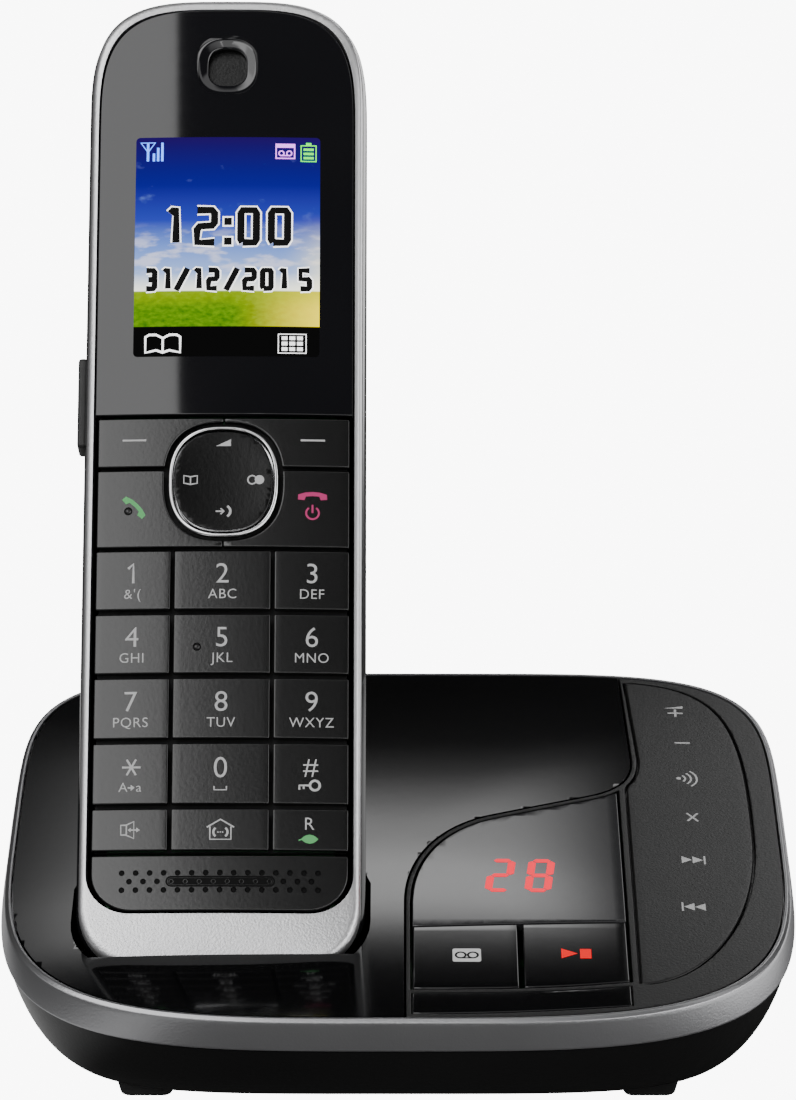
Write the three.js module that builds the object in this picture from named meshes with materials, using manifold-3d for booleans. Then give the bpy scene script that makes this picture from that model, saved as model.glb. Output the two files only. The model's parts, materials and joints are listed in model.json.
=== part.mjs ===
// A cordless telephone: a handset with colour display and keypad, leaning in the cradle of its base.
// The base holds the charger, an answering machine with a two-digit message counter, and its keys.
// Millimetres, +Z up, +X to the right, -Y to the front. The origin is the centre of the object's footprint.
import * as THREE from 'three';
import { mergeVertices } from 'three/addons/utils/BufferGeometryUtils.js';
import Module from 'manifold-3d';

const wasm = await Module();
wasm.setup();

// ---- Driving dimensions -------------------------------------------------------------------------

const GAP = 0.35; // between neighbouring mouldings
const WALL = 1.8; // moulded wall thickness

// Base: its lid plane slopes up to the back, and every lid part is drawn in that plane.
const LID_TILT = THREE.MathUtils.degToRad(6.5);
const LID_HEIGHT = 26.5; // lid plane above the table, at the middle
const LID_HALF = new THREE.Vector2(63.7, 54.3); // inside edge of the silver ring
const LID_POWER_FRONT = 3.7;
const LID_POWER_BACK = 5.1;
const LID_CROWN = 1.2; // the lid bulges by this much in the middle
const LID_THICK = 2.4;
const RING_HEIGHT = 5.2;
const RING_REACH = 1.7; // the ring stands this far out of the lid's edge
const FLOOR_HALF = new THREE.Vector2(56.6, 47.7);
const FLOOR_POWER_FRONT = 4.6;
const FLOOR_Z = 3.5;
const FOOT_SPREAD = new THREE.Vector2(40.5, 38.8);
const FOOT_SIZE = new THREE.Vector2(8.4, 7.0);

// Handset: drawn flat, x across, y from the chin up to the earpiece, z out of the keypad.
const LEAN = THREE.MathUtils.degToRad(38); // back from upright
const CRADLE_POINT = new THREE.Vector3(-28.75, -37.4, 21.6); // the chin's lower front edge
const HANDSET_LENGTH = 167.2;
const HANDSET_HALF = 23.5;
const HANDSET_DEPTH = 22.6;
const FACE_HALF = 22.3; // half width of the silver front frame
const FACE_CROWN = 0.9; // the face bulges by this much across its width
const CAP_HEIGHT = 22.5; // length of the arched top
const CAP_POWER = 3.5;
const KEY_TRAVEL_ROOM = 0.7;

// Places along the handset, from the chin up.
const GRILLE_Y = [8.5, 17.6];
const FUNCTION_ROW_Y = [18.4, 25.3];
const DIGIT_ROWS_Y = [[58.7, 68.7], [47.9, 57.9], [37.0, 47.1], [26.1, 36.2]];
const CALL_ROW_Y = [69.3, 82.5];
const SOFT_ROW_Y = [83.1, 91.5];
const LENS_Y = [92.1, 163.9];
const COLUMNS_X = [[-20.75, -8.5], [-7.9, 7.9], [8.5, 20.75]];
const NAVIGATOR = { y: 80.6, well: [9.8, 10.2], ring: [9.1, 9.65], pad: [8.0, 8.45], power: 2.5 };
const EARPIECE_Y = 153.9;
const BATTERY_BAY_Y = [50.3, 103.7];
const BATTERY_BAY_HALF = 16.5;
const FLAP_X = [-24.7, -23.0];
const FLAP_Y = [88.6, 104.2];
const FLAP_Z = [-12, -6];
const JACK_Y = 96.4;

// ---- Materials ------------------------------------------------------------------------------------

const paint = (color, roughness, metalness = 0) =>
  new THREE.MeshStandardMaterial({ color, roughness, metalness });
const GLOSS_BLACK = paint(0x0b0b0c, 0.08);
const SMOKE = paint(0x191a1c, 0.08);
const SATIN_BLACK = paint(0x2b2b2d, 0.45);
const SHELL_BLACK = paint(0x151516, 0.35);
const SILVER = paint(0xb9babc, 0.35, 0.8);
const CHROME = paint(0xe6e7e8, 0.1, 1);
const KEY_BLACK = paint(0x3a3b3d, 0.4);
const RUBBER = paint(0x111111, 0.8);
const BOARD_GREEN = paint(0x1f4d2e, 0.6);
const METAL = paint(0x9a9a9c, 0.35, 0.9);
const GOLD = paint(0xc9a24b, 0.3, 1);
const CELL_GREEN = paint(0x3c7a4c, 0.4);
const MODULE = paint(0x22242a, 0.5);

// ---- Geometry tools -------------------------------------------------------------------------------

// A geometry that holds only positions and faces.
function closed(positions, index) {
  const raw = new THREE.BufferGeometry();
  raw.setAttribute('position', new THREE.Float32BufferAttribute(positions, 3));
  raw.setIndex(index);
  return raw;
}

function toSolid(geometry) {
  const bare = geometry.clone();
  bare.deleteAttribute('normal');
  bare.deleteAttribute('uv');
  const merged = mergeVertices(bare, 1e-4);
  const triVerts = new Uint32Array(merged.index.array);
  const vertProperties = new Float32Array(merged.attributes.position.array);
  const made = new wasm.Manifold(new wasm.Mesh({ numProp: 3, vertProperties, triVerts }));
  if (made.volume() >= 0) return made;
  for (let i = 0; i < triVerts.length; i += 3) {
    [triVerts[i + 1], triVerts[i + 2]] = [triVerts[i + 2], triVerts[i + 1]];
  }
  return new wasm.Manifold(new wasm.Mesh({ numProp: 3, vertProperties, triVerts }));
}

function toGeometry(manifold) {
  const mesh = manifold.getMesh();
  const positions = new Float32Array(mesh.numVert * 3);
  for (let i = 0; i < mesh.numVert; i++) {
    const start = i * mesh.numProp;
    positions.set(mesh.vertProperties.subarray(start, start + 3), i * 3);
  }
  return closed(positions, new THREE.Uint32BufferAttribute(mesh.triVerts, 1));
}

const cut = (body, ...tools) => tools.reduce((left, tool) => left.subtract(tool), body);
const join = (body, ...more) => more.reduce((sum, next) => sum.add(next), body);

// Skins a stack of rings that have the same number of points, and closes both ends with a fan.
function loft(rings) {
  const count = rings[0].length;
  const positions = rings.flat().flatMap((p) => [p.x, p.y, p.z]);
  const index = [];
  for (let r = 0; r + 1 < rings.length; r++) {
    for (let i = 0; i < count; i++) {
      const a = r * count + i;
      const b = r * count + ((i + 1) % count);
      index.push(a, b, b + count, a, b + count, a + count);
    }
  }
  const fan = (first, flip) => {
    const ring = rings[first / count];
    const middle = ring.reduce((sum, p) => sum.add(p), new THREE.Vector3()).divideScalar(count);
    const hub = positions.length / 3;
    positions.push(middle.x, middle.y, middle.z);
    for (let i = 0; i < count; i++) {
      const edge = [first + i, first + ((i + 1) % count)];
      index.push(hub, ...(flip ? edge.reverse() : edge));
    }
  };
  fan(0, true);
  fan((rings.length - 1) * count, false);
  return toSolid(closed(positions, index));
}

// Skins rings that run round in a loop, back to the first.
function loftLoop(rings) {
  const count = rings[0].length;
  const positions = rings.flat().flatMap((p) => [p.x, p.y, p.z]);
  const index = [];
  for (let r = 0; r < rings.length; r++) {
    const next = ((r + 1) % rings.length) * count;
    for (let i = 0; i < count; i++) {
      const j = (i + 1) % count;
      index.push(r * count + i, r * count + j, next + j, r * count + i, next + j, next + i);
    }
  }
  return toSolid(closed(positions, index));
}

// A flat outline of [x, y] points, raised from z0 to z1.
function prism(outline, z0, z1) {
  const shape = new THREE.Shape(outline.map(([x, y]) => new THREE.Vector2(x, y)));
  const geometry = new THREE.ExtrudeGeometry(shape, { depth: z1 - z0, bevelEnabled: false });
  return toSolid(geometry.translate(0, 0, z0));
}

function block(x, y, z) {
  const geometry = new THREE.BoxGeometry(x[1] - x[0], y[1] - y[0], z[1] - z[0]);
  return toSolid(geometry.translate((x[0] + x[1]) / 2, (y[0] + y[1]) / 2, (z[0] + z[1]) / 2));
}

// A round bar along z.
function rod(radius, x, y, z, segments = 20) {
  const geometry = new THREE.CylinderGeometry(radius, radius, z[1] - z[0], segments);
  return toSolid(geometry.rotateX(Math.PI / 2).translate(x, y, (z[0] + z[1]) / 2));
}

// Draws an outline of [y, z] points and extrudes it across x.
function profileAcross(outline, x0, x1) {
  const side = toGeometry(prism(outline, x0, x1));
  const turn = new THREE.Matrix4().makeBasis(
    new THREE.Vector3(0, 1, 0), new THREE.Vector3(0, 0, 1), new THREE.Vector3(1, 0, 0));
  return toSolid(side.applyMatrix4(turn));
}

// Draws an outline of [x, z] points and extrudes it along y.
function profileAlong(outline, y0, y1) {
  const side = toGeometry(prism(outline, -y1, -y0));
  return toSolid(side.rotateX(Math.PI / 2));
}

const rectangle = (x, y) => [[x[0], y[0]], [x[1], y[0]], [x[1], y[1]], [x[0], y[1]]];
const grow = ([low, high], by) => [low - by, high + by];

function superellipse(halfX, halfY, powerFront, powerBack, count) {
  const points = [];
  for (let i = 0; i < count; i++) {
    const angle = ((i + 0.5) / count) * 2 * Math.PI;
    const c = Math.cos(angle);
    const s = Math.sin(angle);
    const exponent = 2 / (s > 0 ? powerBack : powerFront);
    points.push([
      halfX * Math.sign(c) * Math.abs(c) ** exponent,
      halfY * Math.sign(s) * Math.abs(s) ** exponent,
    ]);
  }
  return points;
}

// Moves each point of an open path sideways, to its right-hand side for a positive distance.
function offsetPath(path, distance) {
  return path.map((point, i) => {
    const before = path[Math.max(0, i - 1)];
    const after = path[Math.min(path.length - 1, i + 1)];
    const run = new THREE.Vector2(after[0] - before[0], after[1] - before[1]).normalize();
    return [point[0] + run.y * distance, point[1] - run.x * distance];
  });
}

function bezier(points, steps) {
  const curve = new THREE.CubicBezierCurve(...points.map(([x, y]) => new THREE.Vector2(x, y)));
  return curve.getPoints(steps).map((p) => [p.x, p.y]);
}

// ---- Scene graph ------------------------------------------------------------------------------------

const phone = new THREE.Group();
const base = new THREE.Group();
const lid = new THREE.Group();
const handset = new THREE.Group();
phone.add(base, handset);
base.add(lid);
lid.position.set(0, 0, LID_HEIGHT);
lid.rotation.x = LID_TILT;
handset.position.copy(CRADLE_POINT);
handset.rotation.x = Math.PI / 2 - LEAN;
phone.updateMatrixWorld(true);

function place(group, name, manifold, material) {
  const mesh = new THREE.Mesh(toGeometry(manifold), material);
  mesh.name = name;
  group.add(mesh);
  return mesh;
}

// A solid drawn in one group's frame, carried into another's.
function carried(manifold, from, to) {
  const matrix = to.matrixWorld.clone().invert().multiply(from.matrixWorld);
  return toSolid(toGeometry(manifold).applyMatrix4(matrix));
}

// ---- Lid outlines, in the lid's own plane -----------------------------------------------------------

const LID_POINTS = 72;
const lidOutline = (by) =>
  superellipse(LID_HALF.x + by, LID_HALF.y + by, LID_POWER_FRONT, LID_POWER_BACK, LID_POINTS);
const lidRing = (by, z) => lidOutline(by).map(([x, y]) => new THREE.Vector3(x, y, z));
const crownAt = (share) => LID_CROWN * (1 - share ** 2.4);

// The lid's crowned slab, of which the cover and the key deck are both cut.
function lidSlab(thickness) {
  const shares = [0.25, 0.5, 0.72, 0.88, 1];
  const layer = (share, drop) =>
    lidOutline(-GAP).map(([x, y]) => new THREE.Vector3(x * share, y * share, crownAt(share) - drop));
  const top = shares.map((share) => layer(share, 0));
  const under = shares.map((share) => layer(share, thickness)).reverse();
  return loft([...top, ...under]);
}

// The rib that parts the glossy cover from the key deck: up from the front, round the counter
// window, round the cover's corner, and on to the back.
const RIB_FRONT = [1.65, -60];
const RIB_TURN = [1.65, -22];
const RIB_SHOULDER = [16, 4.65];
const RIB_CORNER = [32, 10.85];
const RIB_RISE = [40.3, 24];
const RIB_BACK = [39.1, 60];
const RIB_HALF = 0.35;
const rib = [
  RIB_FRONT,
  ...bezier([RIB_TURN, [1.65, -9.1], [7, 1.2], RIB_SHOULDER], 8),
  ...bezier([RIB_CORNER, [39.5, 13.8], [40.3, 19], RIB_RISE], 6),
  RIB_BACK,
];
// Everything on the right-hand side of the rib, grown across it by a distance.
const rightOfRib = (by) => [...offsetPath(rib, -by), [90, 60], [90, -60]];
const WINDOW_X = [2.3, 37.0];
const KEY_SPLIT_X = 19.7;
const KEY_SPLIT_HALF = 0.4;
const KEY_BACK_Y = [-29.2, -27.7]; // at the left and at the right
const KEY_FRONT_Y = [-46.3, -44.2];

// How far a place lies from the window's left edge to its right one, from 0 to 1.
const shareAcross = (x) => (x - WINDOW_X[0]) / (WINDOW_X[1] - WINDOW_X[0]);
const keyBackAt = (x) => THREE.MathUtils.lerp(...KEY_BACK_Y, shareAcross(x));
const keyFrontAt = (x) => THREE.MathUtils.lerp(...KEY_FRONT_Y, Math.max(shareAcross(x), 0) ** 3);

// The counter window's outline, under the rib's shoulder. front gives its front edge's y at an x.
function windowOutline(x, front, inset) {
  const shoulder = offsetPath(rib, inset).filter(([px, py]) => py > -23 && px < x[1] && py < 20);
  const last = shoulder[shoulder.length - 1];
  const rise = (x[1] - last[0]) * 0.42;
  const kept = shoulder.filter(([px]) => px >= x[0] - 0.2);
  kept[0] = [x[0], kept[0][1]];
  const frontEdge = [1, 0.75, 0.5, 0.25, 0].map((share) => THREE.MathUtils.lerp(...x, share));
  return [...kept, [x[1], last[1] + rise], ...frontEdge.map((px) => [px, front(px)])];
}

// The matte key sheet down the right side, inside its own seam.
const SHEET_X = 38.7;
const SHEET_FRONT = [SHEET_X, -44.9];
const SHEET_SIDE = [59.1, 0];
const SHEET_BACK = [39.8, 51.4];
function sheetOutline(by) {
  const front = bezier([SHEET_FRONT, [50, -44.3], [59.1, -25], SHEET_SIDE], 8);
  const back = bezier([SHEET_SIDE, [59.5, 34], [57.5, 49.5], SHEET_BACK], 9);
  const corner = offsetPath(rib, 0.8).filter(([x, y]) => y > 14.6 && y < 30 && x > SHEET_X);
  const notch = [...corner].reverse();
  const outline = [...front, ...back.slice(1), ...notch, [SHEET_X, 13.9]];
  if (by === 0) return outline;
  const round = [outline[outline.length - 1], ...outline, outline[0]];
  return offsetPath(round, by).slice(1, -1);
}

// ---- Cradle -----------------------------------------------------------------------------------------

const CRADLE_REACH = 60;
// The space that the handset's lower end slides in, along the handset. by grows it all round.
function cradleSpace(by) {
  const half = HANDSET_HALF + 0.8 + by;
  const front = 0.4 + by;
  const back = -HANDSET_DEPTH - 0.6 - by;
  const section = profileAlong([
    [-half, front], [-half, -14], [-half + 2, -19], [-half + 6.5, back + 1.2], [-half + 11, back],
    [half - 11, back], [half - 6.5, back + 1.2], [half - 2, -19], [half, -14], [half, front],
  ], -20, CRADLE_REACH);
  const side = profileAcross([
    [-0.8 - by, front], [-0.8 - by, -11 - by / 2], [0.8 - by, -15.5 - by / 2],
    [4.5 - by, -20 - by / 2], [9 - by, back], [CRADLE_REACH, back], [CRADLE_REACH, front],
  ], -40, 40);
  const rounding = new THREE.EllipseCurve(0, 0, 8 + by, 9 + by, -Math.PI / 2, 0).getPoints(6);
  const corner = rounding.map((p) => [half - 8 - by + p.x, 8.2 + p.y]);
  const mirrored = corner.map(([x, y]) => [-x, y]).reverse();
  const face = prism(
    [...corner, [half, CRADLE_REACH], [-half, CRADLE_REACH], ...mirrored], back - 5, front + 5);
  return section.intersect(side).intersect(face);
}

// The back rest: a hollow swelling of the lid that the handset's back leans on. Each level is
// [height over the lid plane, half width, how far back it reaches].
const REST_LEVELS = [[-0.4, 21.5, 34], [4, 20.3, 28.5], [10, 18.8, 22.5], [15, 17.6, 18], [17, 16.4, 15]];
const REST_FRONT = -8.5; // where the rest's front starts, inside the handset's space
function backRest(inset, bottom) {
  const ring = ([height, half, back], top) => {
    const front = REST_FRONT + height;
    const middle = (front + back) / 2;
    return superellipse(half - inset, (back - front) / 2 - inset, 3, 3, 24)
      .map(([x, y]) => new THREE.Vector3(x + CRADLE_POINT.x, y + middle, top));
  };
  const last = REST_LEVELS.length - 1;
  return loft(REST_LEVELS.map((level, i) => {
    if (i === 0) return ring(level, bottom);
    return ring(level, level[0] - (i === last ? inset : 0));
  }));
}

// ---- Base ---------------------------------------------------------------------------------------------

const PIN_X = 12;
const PIN_Z = -6;
const PIN_RADIUS = 1.3;
const PIN_REACH = [-5, 0]; // its tip stands just clear of the handset's contact plate
const SOCKET_BACK_Y = 49.5;
const LINE_SOCKET_X = 22;
const POWER_SOCKET_X = -18;
const SCREW_PLACES = [[-46, 8], [46, 8]];
const BOSS_HALF = 5;

function topCover() {
  const underLid = prism(lidOutline(-GAP - 1), -60, -LID_THICK + 0.6);
  const cup = carried(cradleSpace(WALL), handset, lid);
  const shell = join(lidSlab(LID_THICK), cup.intersect(underLid), backRest(0, REST_LEVELS[0][0]));
  const pinHoles = [-PIN_X, PIN_X].map((x) => carried(chargePin(x, PIN_RADIUS + 0.4, [-6, 2]), handset, lid));
  const space = carried(cradleSpace(0), handset, lid);
  const underRest = cut(backRest(WALL, -6), cup);
  return cut(shell, space, underRest, prism(rightOfRib(RIB_HALF + GAP), -20, 20), ...pinHoles);
}

// A round bar along the handset's length, under its lower end.
function chargePin(x, radius, y) {
  const geometry = new THREE.CylinderGeometry(radius, radius, y[1] - y[0], 12);
  return toSolid(geometry.translate(x, (y[0] + y[1]) / 2, PIN_Z));
}

function keyDeck() {
  const deck = lidSlab(LID_THICK).intersect(prism(rightOfRib(RIB_HALF), -20, 20));
  const holeFront = (x) => keyFrontAt(x) - GAP;
  const windowHole = prism(windowOutline(grow(WINDOW_X, GAP), holeFront, RIB_HALF), -20, 20);
  const sheetBed = prism(sheetOutline(GAP), -1.1, 20);
  return cut(deck, windowHole, sheetBed);
}

function counterWindow() {
  const outline = windowOutline(WINDOW_X, (x) => keyBackAt(x) + GAP, RIB_HALF + GAP);
  return lidSlab(1.6).intersect(prism(outline, -20, 20));
}

function lidKey([left, right]) {
  const middle = (left + right) / 2;
  const front = [left, middle, right].map((x) => [x, keyFrontAt(x)]);
  const outline = [...front, [right, keyBackAt(right)], [left, keyBackAt(left)]];
  return lidSlab(1.9).intersect(prism(outline, -20, 20));
}

function sideKeySheet() {
  const bed = prism(sheetOutline(0), -0.75, 20);
  return lidSlab(LID_THICK).intersect(bed);
}

function trimRing() {
  const profile = [
    [0, 0], [0.45, 0.1], [0.9, -0.35], [RING_REACH, -RING_HEIGHT], [-1.2, -RING_HEIGHT],
    [-1.2, -LID_THICK - GAP], [0, -LID_THICK - GAP],
  ];
  return loftLoop(profile.map(([by, z]) => lidRing(by, z)));
}

function bottomShell() {
  const toWorld = lid.matrixWorld;
  const rim = (by, drop) => lidRing(by, -RING_HEIGHT - GAP - drop).map((p) => p.applyMatrix4(toWorld));
  const floor = (by, z) =>
    superellipse(FLOOR_HALF.x + by, FLOOR_HALF.y + by, FLOOR_POWER_FRONT, LID_POWER_BACK, LID_POINTS)
      .map(([x, y]) => new THREE.Vector3(x, y, z));
  const bulged = (low, high, t) =>
    low.map((p, i) => {
      const knee = new THREE.Vector3().lerpVectors(p, high[i], 0.68);
      knee.z = p.z + (high[i].z - p.z) * 0.27;
      return new THREE.QuadraticBezierCurve3(p, knee, high[i]).getPoint(t);
    });
  const steps = [0, 0.2, 0.4, 0.6, 0.8, 1];
  const outside = steps.map((t) => bulged(floor(0, FLOOR_Z), rim(RING_REACH - GAP, 0), t));
  const inside = steps.map((t) =>
    bulged(floor(-WALL, FLOOR_Z + WALL), rim(RING_REACH - GAP - WALL, 0), t));
  const bowl = loft([...outside, ...inside.reverse()]);
  const bosses = SCREW_PLACES.map(([x, y]) => rod(BOSS_HALF, x, y, [FLOOR_Z + 0.5, 10]));
  const recesses = SCREW_PLACES.flatMap(([x, y]) =>
    [rod(3.1, x, y, [FLOOR_Z - 1, 6.6]), rod(1.7, x, y, [5, 12], 12)]);
  const slots = [-8, -4, 0, 4, 8].map((step) =>
    block([32 + step - 0.8, 32 + step + 0.8], [12, 28], [FLOOR_Z - 1, FLOOR_Z + WALL + 1]));
  const lineHole = block(grow([LINE_SOCKET_X, LINE_SOCKET_X], 7.2), [40, 70], [7.6, 20.4]);
  const powerHole = block(grow([POWER_SOCKET_X, POWER_SOCKET_X], 5.6), [40, 70], [8.1, 19.4]);
  return cut(join(bowl, ...bosses), ...recesses, ...slots, lineHole, powerHole);
}

function foot(x, y) {
  const ring = (by, z) =>
    rectangle(grow([x, x], FOOT_SIZE.x / 2 + by), grow([y, y], FOOT_SIZE.y / 2 + by))
      .map(([px, py]) => new THREE.Vector3(px, py, z));
  return loft([ring(-0.2, 0), ring(0, 0.3), ring(0.5, FLOOR_Z - GAP)]);
}

function lineSocket() {
  const body = block(grow([LINE_SOCKET_X, LINE_SOCKET_X], 6.8), [36, SOCKET_BACK_Y], [8, 20]);
  const mouth = block(grow([LINE_SOCKET_X, LINE_SOCKET_X], 4.9), [39, 60], [10.2, 17.2]);
  const latch = block(grow([LINE_SOCKET_X, LINE_SOCKET_X], 2.1), [39, 60], [17, 18.6]);
  return cut(body, mouth, latch);
}

function powerSocket() {
  const body = block(grow([POWER_SOCKET_X, POWER_SOCKET_X], 5.2), [37, SOCKET_BACK_Y], [8.5, 19]);
  const bar = (radius, y) => {
    const geometry = new THREE.CylinderGeometry(radius, radius, y[1] - y[0], 16);
    return toSolid(geometry.translate(POWER_SOCKET_X, (y[0] + y[1]) / 2, 13.8));
  };
  return join(cut(body, bar(3, [40, 60])), bar(0.9, [39.5, SOCKET_BACK_Y - 1]));
}

function baseScrew([x, y]) {
  return join(rod(2.7, x, y, [4.4, 6.3], 16), rod(1.35, x, y, [6, 13], 10));
}

place(lid, 'base_top_cover', topCover(), GLOSS_BLACK);
place(lid, 'key_deck', keyDeck(), SATIN_BLACK);
place(lid, 'counter_window', counterWindow(), SMOKE);
place(lid, 'answer_key', lidKey([WINDOW_X[0] + 0.1, KEY_SPLIT_X - KEY_SPLIT_HALF]), GLOSS_BLACK);
place(lid, 'play_stop_key', lidKey([KEY_SPLIT_X + KEY_SPLIT_HALF, WINDOW_X[1] - 0.1]), GLOSS_BLACK);
place(lid, 'side_key_sheet', sideKeySheet(), SATIN_BLACK);
place(lid, 'base_trim_ring', trimRing(), SILVER);
place(lid, 'counter_display', block([9, 31], [-20, -2.5], [-6.8, -1.9]), MODULE);
place(lid, 'base_circuit_board', block([2, 54], [-40, 40], [-8.8, -7.2]), BOARD_GREEN);
place(base, 'base_bottom_shell', bottomShell(), SHELL_BLACK);
place(base, 'base_loudspeaker',
  join(rod(13, 32, 20, [5.7, 7.7], 24), rod(7, 32, 20, [7.5, 12], 16)), METAL);
place(base, 'line_socket', lineSocket(), MODULE);
place(base, 'power_socket', powerSocket(), MODULE);
SCREW_PLACES.forEach((spot, i) =>
  place(base, ['base_screw_left', 'base_screw_right'][i], baseScrew(spot), METAL));
for (const [end, y] of [['front', -FOOT_SPREAD.y], ['rear', FOOT_SPREAD.y]]) {
  for (const [side, x] of [['left', -FOOT_SPREAD.x], ['right', FOOT_SPREAD.x]]) {
    place(base, `foot_${end}_${side}`, foot(x, y), RUBBER);
  }
}
const chargePins = new THREE.Group();
chargePins.position.copy(handset.position);
chargePins.rotation.copy(handset.rotation);
base.add(chargePins);
place(chargePins, 'charge_pin_left', chargePin(-PIN_X, PIN_RADIUS, PIN_REACH), GOLD);
place(chargePins, 'charge_pin_right', chargePin(PIN_X, PIN_RADIUS, PIN_REACH), GOLD);

// ---- Handset --------------------------------------------------------------------------------------------

// The handset's outline: elliptical chin corners and an arched top, as [x, y] points.
function handsetOutline(half, bottom, top, cornerX, cornerY, capHeight) {
  const points = [];
  const CHIN_STEPS = 5;
  for (let i = 0; i <= CHIN_STEPS; i++) {
    const angle = (i / CHIN_STEPS) * (Math.PI / 2);
    points.push([half - cornerX + cornerX * Math.sin(angle), bottom + cornerY - cornerY * Math.cos(angle)]);
  }
  const CAP_STEPS = 10;
  for (let i = 0; i <= CAP_STEPS; i++) {
    const angle = (i / CAP_STEPS) * (Math.PI / 2);
    const x = half * Math.cos(angle) ** (2 / CAP_POWER);
    const y = top - capHeight + capHeight * Math.sin(angle) ** (2 / CAP_POWER);
    points.push([Math.max(x, 0), y]);
  }
  const left = points.slice(0, -1).map(([x, y]) => [-x, y]).reverse();
  return [...points, ...left];
}

const ringAt = (outline, z) => outline.map(([x, y]) => new THREE.Vector3(x, y, z));

// One layer of the body: how far it draws in at the sides, the chin and the top, at a depth.
function bodyLayer(z, side, chin, top, wall) {
  const half = HANDSET_HALF - side - wall;
  const outline = handsetOutline(half, chin + wall, HANDSET_LENGTH - top - wall, 8, 9, CAP_HEIGHT);
  return ringAt(outline, z);
}
const BODY_LAYERS = [
  [-3.1, 0.6, 0.6, 0.7], [-5.5, 0.15, 0.3, 0], [-9, 0, 0.4, 0.1], [-14, 0.4, 1.5, 1.4],
  [-18, 2.0, 3.6, 4], [-21, 5.0, 7.5, 10], [-HANDSET_DEPTH, 9.5, 13, 19],
];
const bodySolid = (wall) =>
  loft(BODY_LAYERS.map(([z, side, chin, top], i) =>
    bodyLayer(i === 0 && wall ? -2 : Math.max(z, -HANDSET_DEPTH + wall), side, chin, top, wall)));

// The face bulges across its width: everything under this arch.
function underFaceArch(depth, rise = 0) {
  const STEPS = 12;
  const arch = [];
  for (let i = 0; i <= STEPS; i++) {
    const x = FACE_HALF * (1 - (2 * i) / STEPS);
    arch.push([x, rise + FACE_CROWN * (1 - (x / FACE_HALF) ** 2)]);
  }
  return profileAlong([...arch, [-FACE_HALF, -depth], [FACE_HALF, -depth]], -5, 170);
}

function rearShell() {
  const hollow = cut(bodySolid(0), bodySolid(WALL - 0.2));
  const bay = prism(rectangle(grow([0, 0], BATTERY_BAY_HALF + GAP), grow(BATTERY_BAY_Y, GAP)), -40, -17);
  const flapBed = block([-30, -22.7], grow(FLAP_Y, GAP), grow(FLAP_Z, GAP));
  const jackHole = toSolid(
    new THREE.CylinderGeometry(2.1, 2.1, 6, 12).rotateZ(Math.PI / 2).translate(-22, JACK_Y, -9));
  const slots = [-6, -3, 0, 3, 6].map((step) =>
    block([-7, 7], [127.4 + step, 128.6 + step], [-30, -20]));
  const plates = [-PIN_X, PIN_X].map((x) => chargePlate(x, GAP));
  return cut(hollow, bay, flapBed, jackHole, ...slots, ...plates);
}

function batteryCover() {
  const lidPart = prism(rectangle([-BATTERY_BAY_HALF, BATTERY_BAY_HALF], BATTERY_BAY_Y), -40, -17);
  return cut(bodySolid(0), bodySolid(WALL - 0.2)).intersect(lidPart);
}

function chargePlate(x, by) {
  return block(grow([x - 2, x + 2], by), [-3, 2.4 + by], grow([-8, -4], by))
    .intersect(block([-30, 30], [by ? -4 : 0.35, 10], [-10, 0]));
}

// The silver front frame with its chin.
const FRAME_TOP = HANDSET_LENGTH - 1.5;
const faceOpening = handsetOutline(21.6, 8.0, LENS_Y[1] + 0.4, 7.2, 6.5, 23);
function frontFrame() {
  const layers = [[-2.7, 0.5], [-0.7, 0.4], [0, 0]].map(([z, by]) =>
    ringAt(handsetOutline(FACE_HALF + by, 0.25 - by / 2, FRAME_TOP + by, 8, 9.5, CAP_HEIGHT), z));
  const topRoll = ringAt(handsetOutline(FACE_HALF - 0.5, 1.4, FRAME_TOP - 0.6, 7.5, 9, CAP_HEIGHT), 0.25);
  return cut(loft([...layers, topRoll]), prism(faceOpening, -10, 10));
}

function facePart(outline, z0 = -1.6) {
  return prism(outline, z0, 5).intersect(underFaceArch(10));
}

const LENS_HALF = 21.3;
function lensPanel() {
  const full = handsetOutline(LENS_HALF, 8.3, LENS_Y[1], 7, 6.5, 22.6);
  const upper = full.filter(([, y]) => y > LENS_Y[0] + 1);
  const outline = [[-LENS_HALF, LENS_Y[0]], [LENS_HALF, LENS_Y[0]], ...upper];
  const squircle = (half) =>
    superellipse(half, half, 2.6, 2.6, 20).map(([x, y]) => [x, y + EARPIECE_Y]);
  return cut(facePart(outline), prism(squircle(5.2), 0.3, 5), prism(squircle(3.3), -5, 5));
}

const aroundNavigator = ([halfX, halfY], by = 0) =>
  superellipse(halfX + by, halfY + by, NAVIGATOR.power, NAVIGATOR.power, 28)
    .map(([x, y]) => [x, y + NAVIGATOR.y]);

function micGrille() {
  const full = handsetOutline(20.7, GRILLE_Y[0], 150, 6.6, 6, 19);
  const lower = full.filter(([, y]) => y < GRILLE_Y[1] - 1);
  const outline = [...lower.slice(lower.length / 2), ...lower.slice(0, lower.length / 2)];
  outline.push([20.7, GRILLE_Y[1]], [-20.7, GRILLE_Y[1]]);
  const slot = block([-8.4, 8.4], [12.5, 13.5], [-5, 5]);
  return cut(facePart(outline), slot);
}

function keyCap(x, y) {
  return facePart(rectangle(x, y));
}

// The keys beside the navigator are cut back round its well.
function besideNavigator(x, y) {
  return cut(keyCap(x, y), prism(aroundNavigator(NAVIGATOR.well), -10, 10));
}

function navigatorRing() {
  const outside = prism(aroundNavigator(NAVIGATOR.ring), -1.6, 0.95);
  return cut(outside, prism(aroundNavigator(NAVIGATOR.pad, 0.3), -0.7, 10));
}

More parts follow.
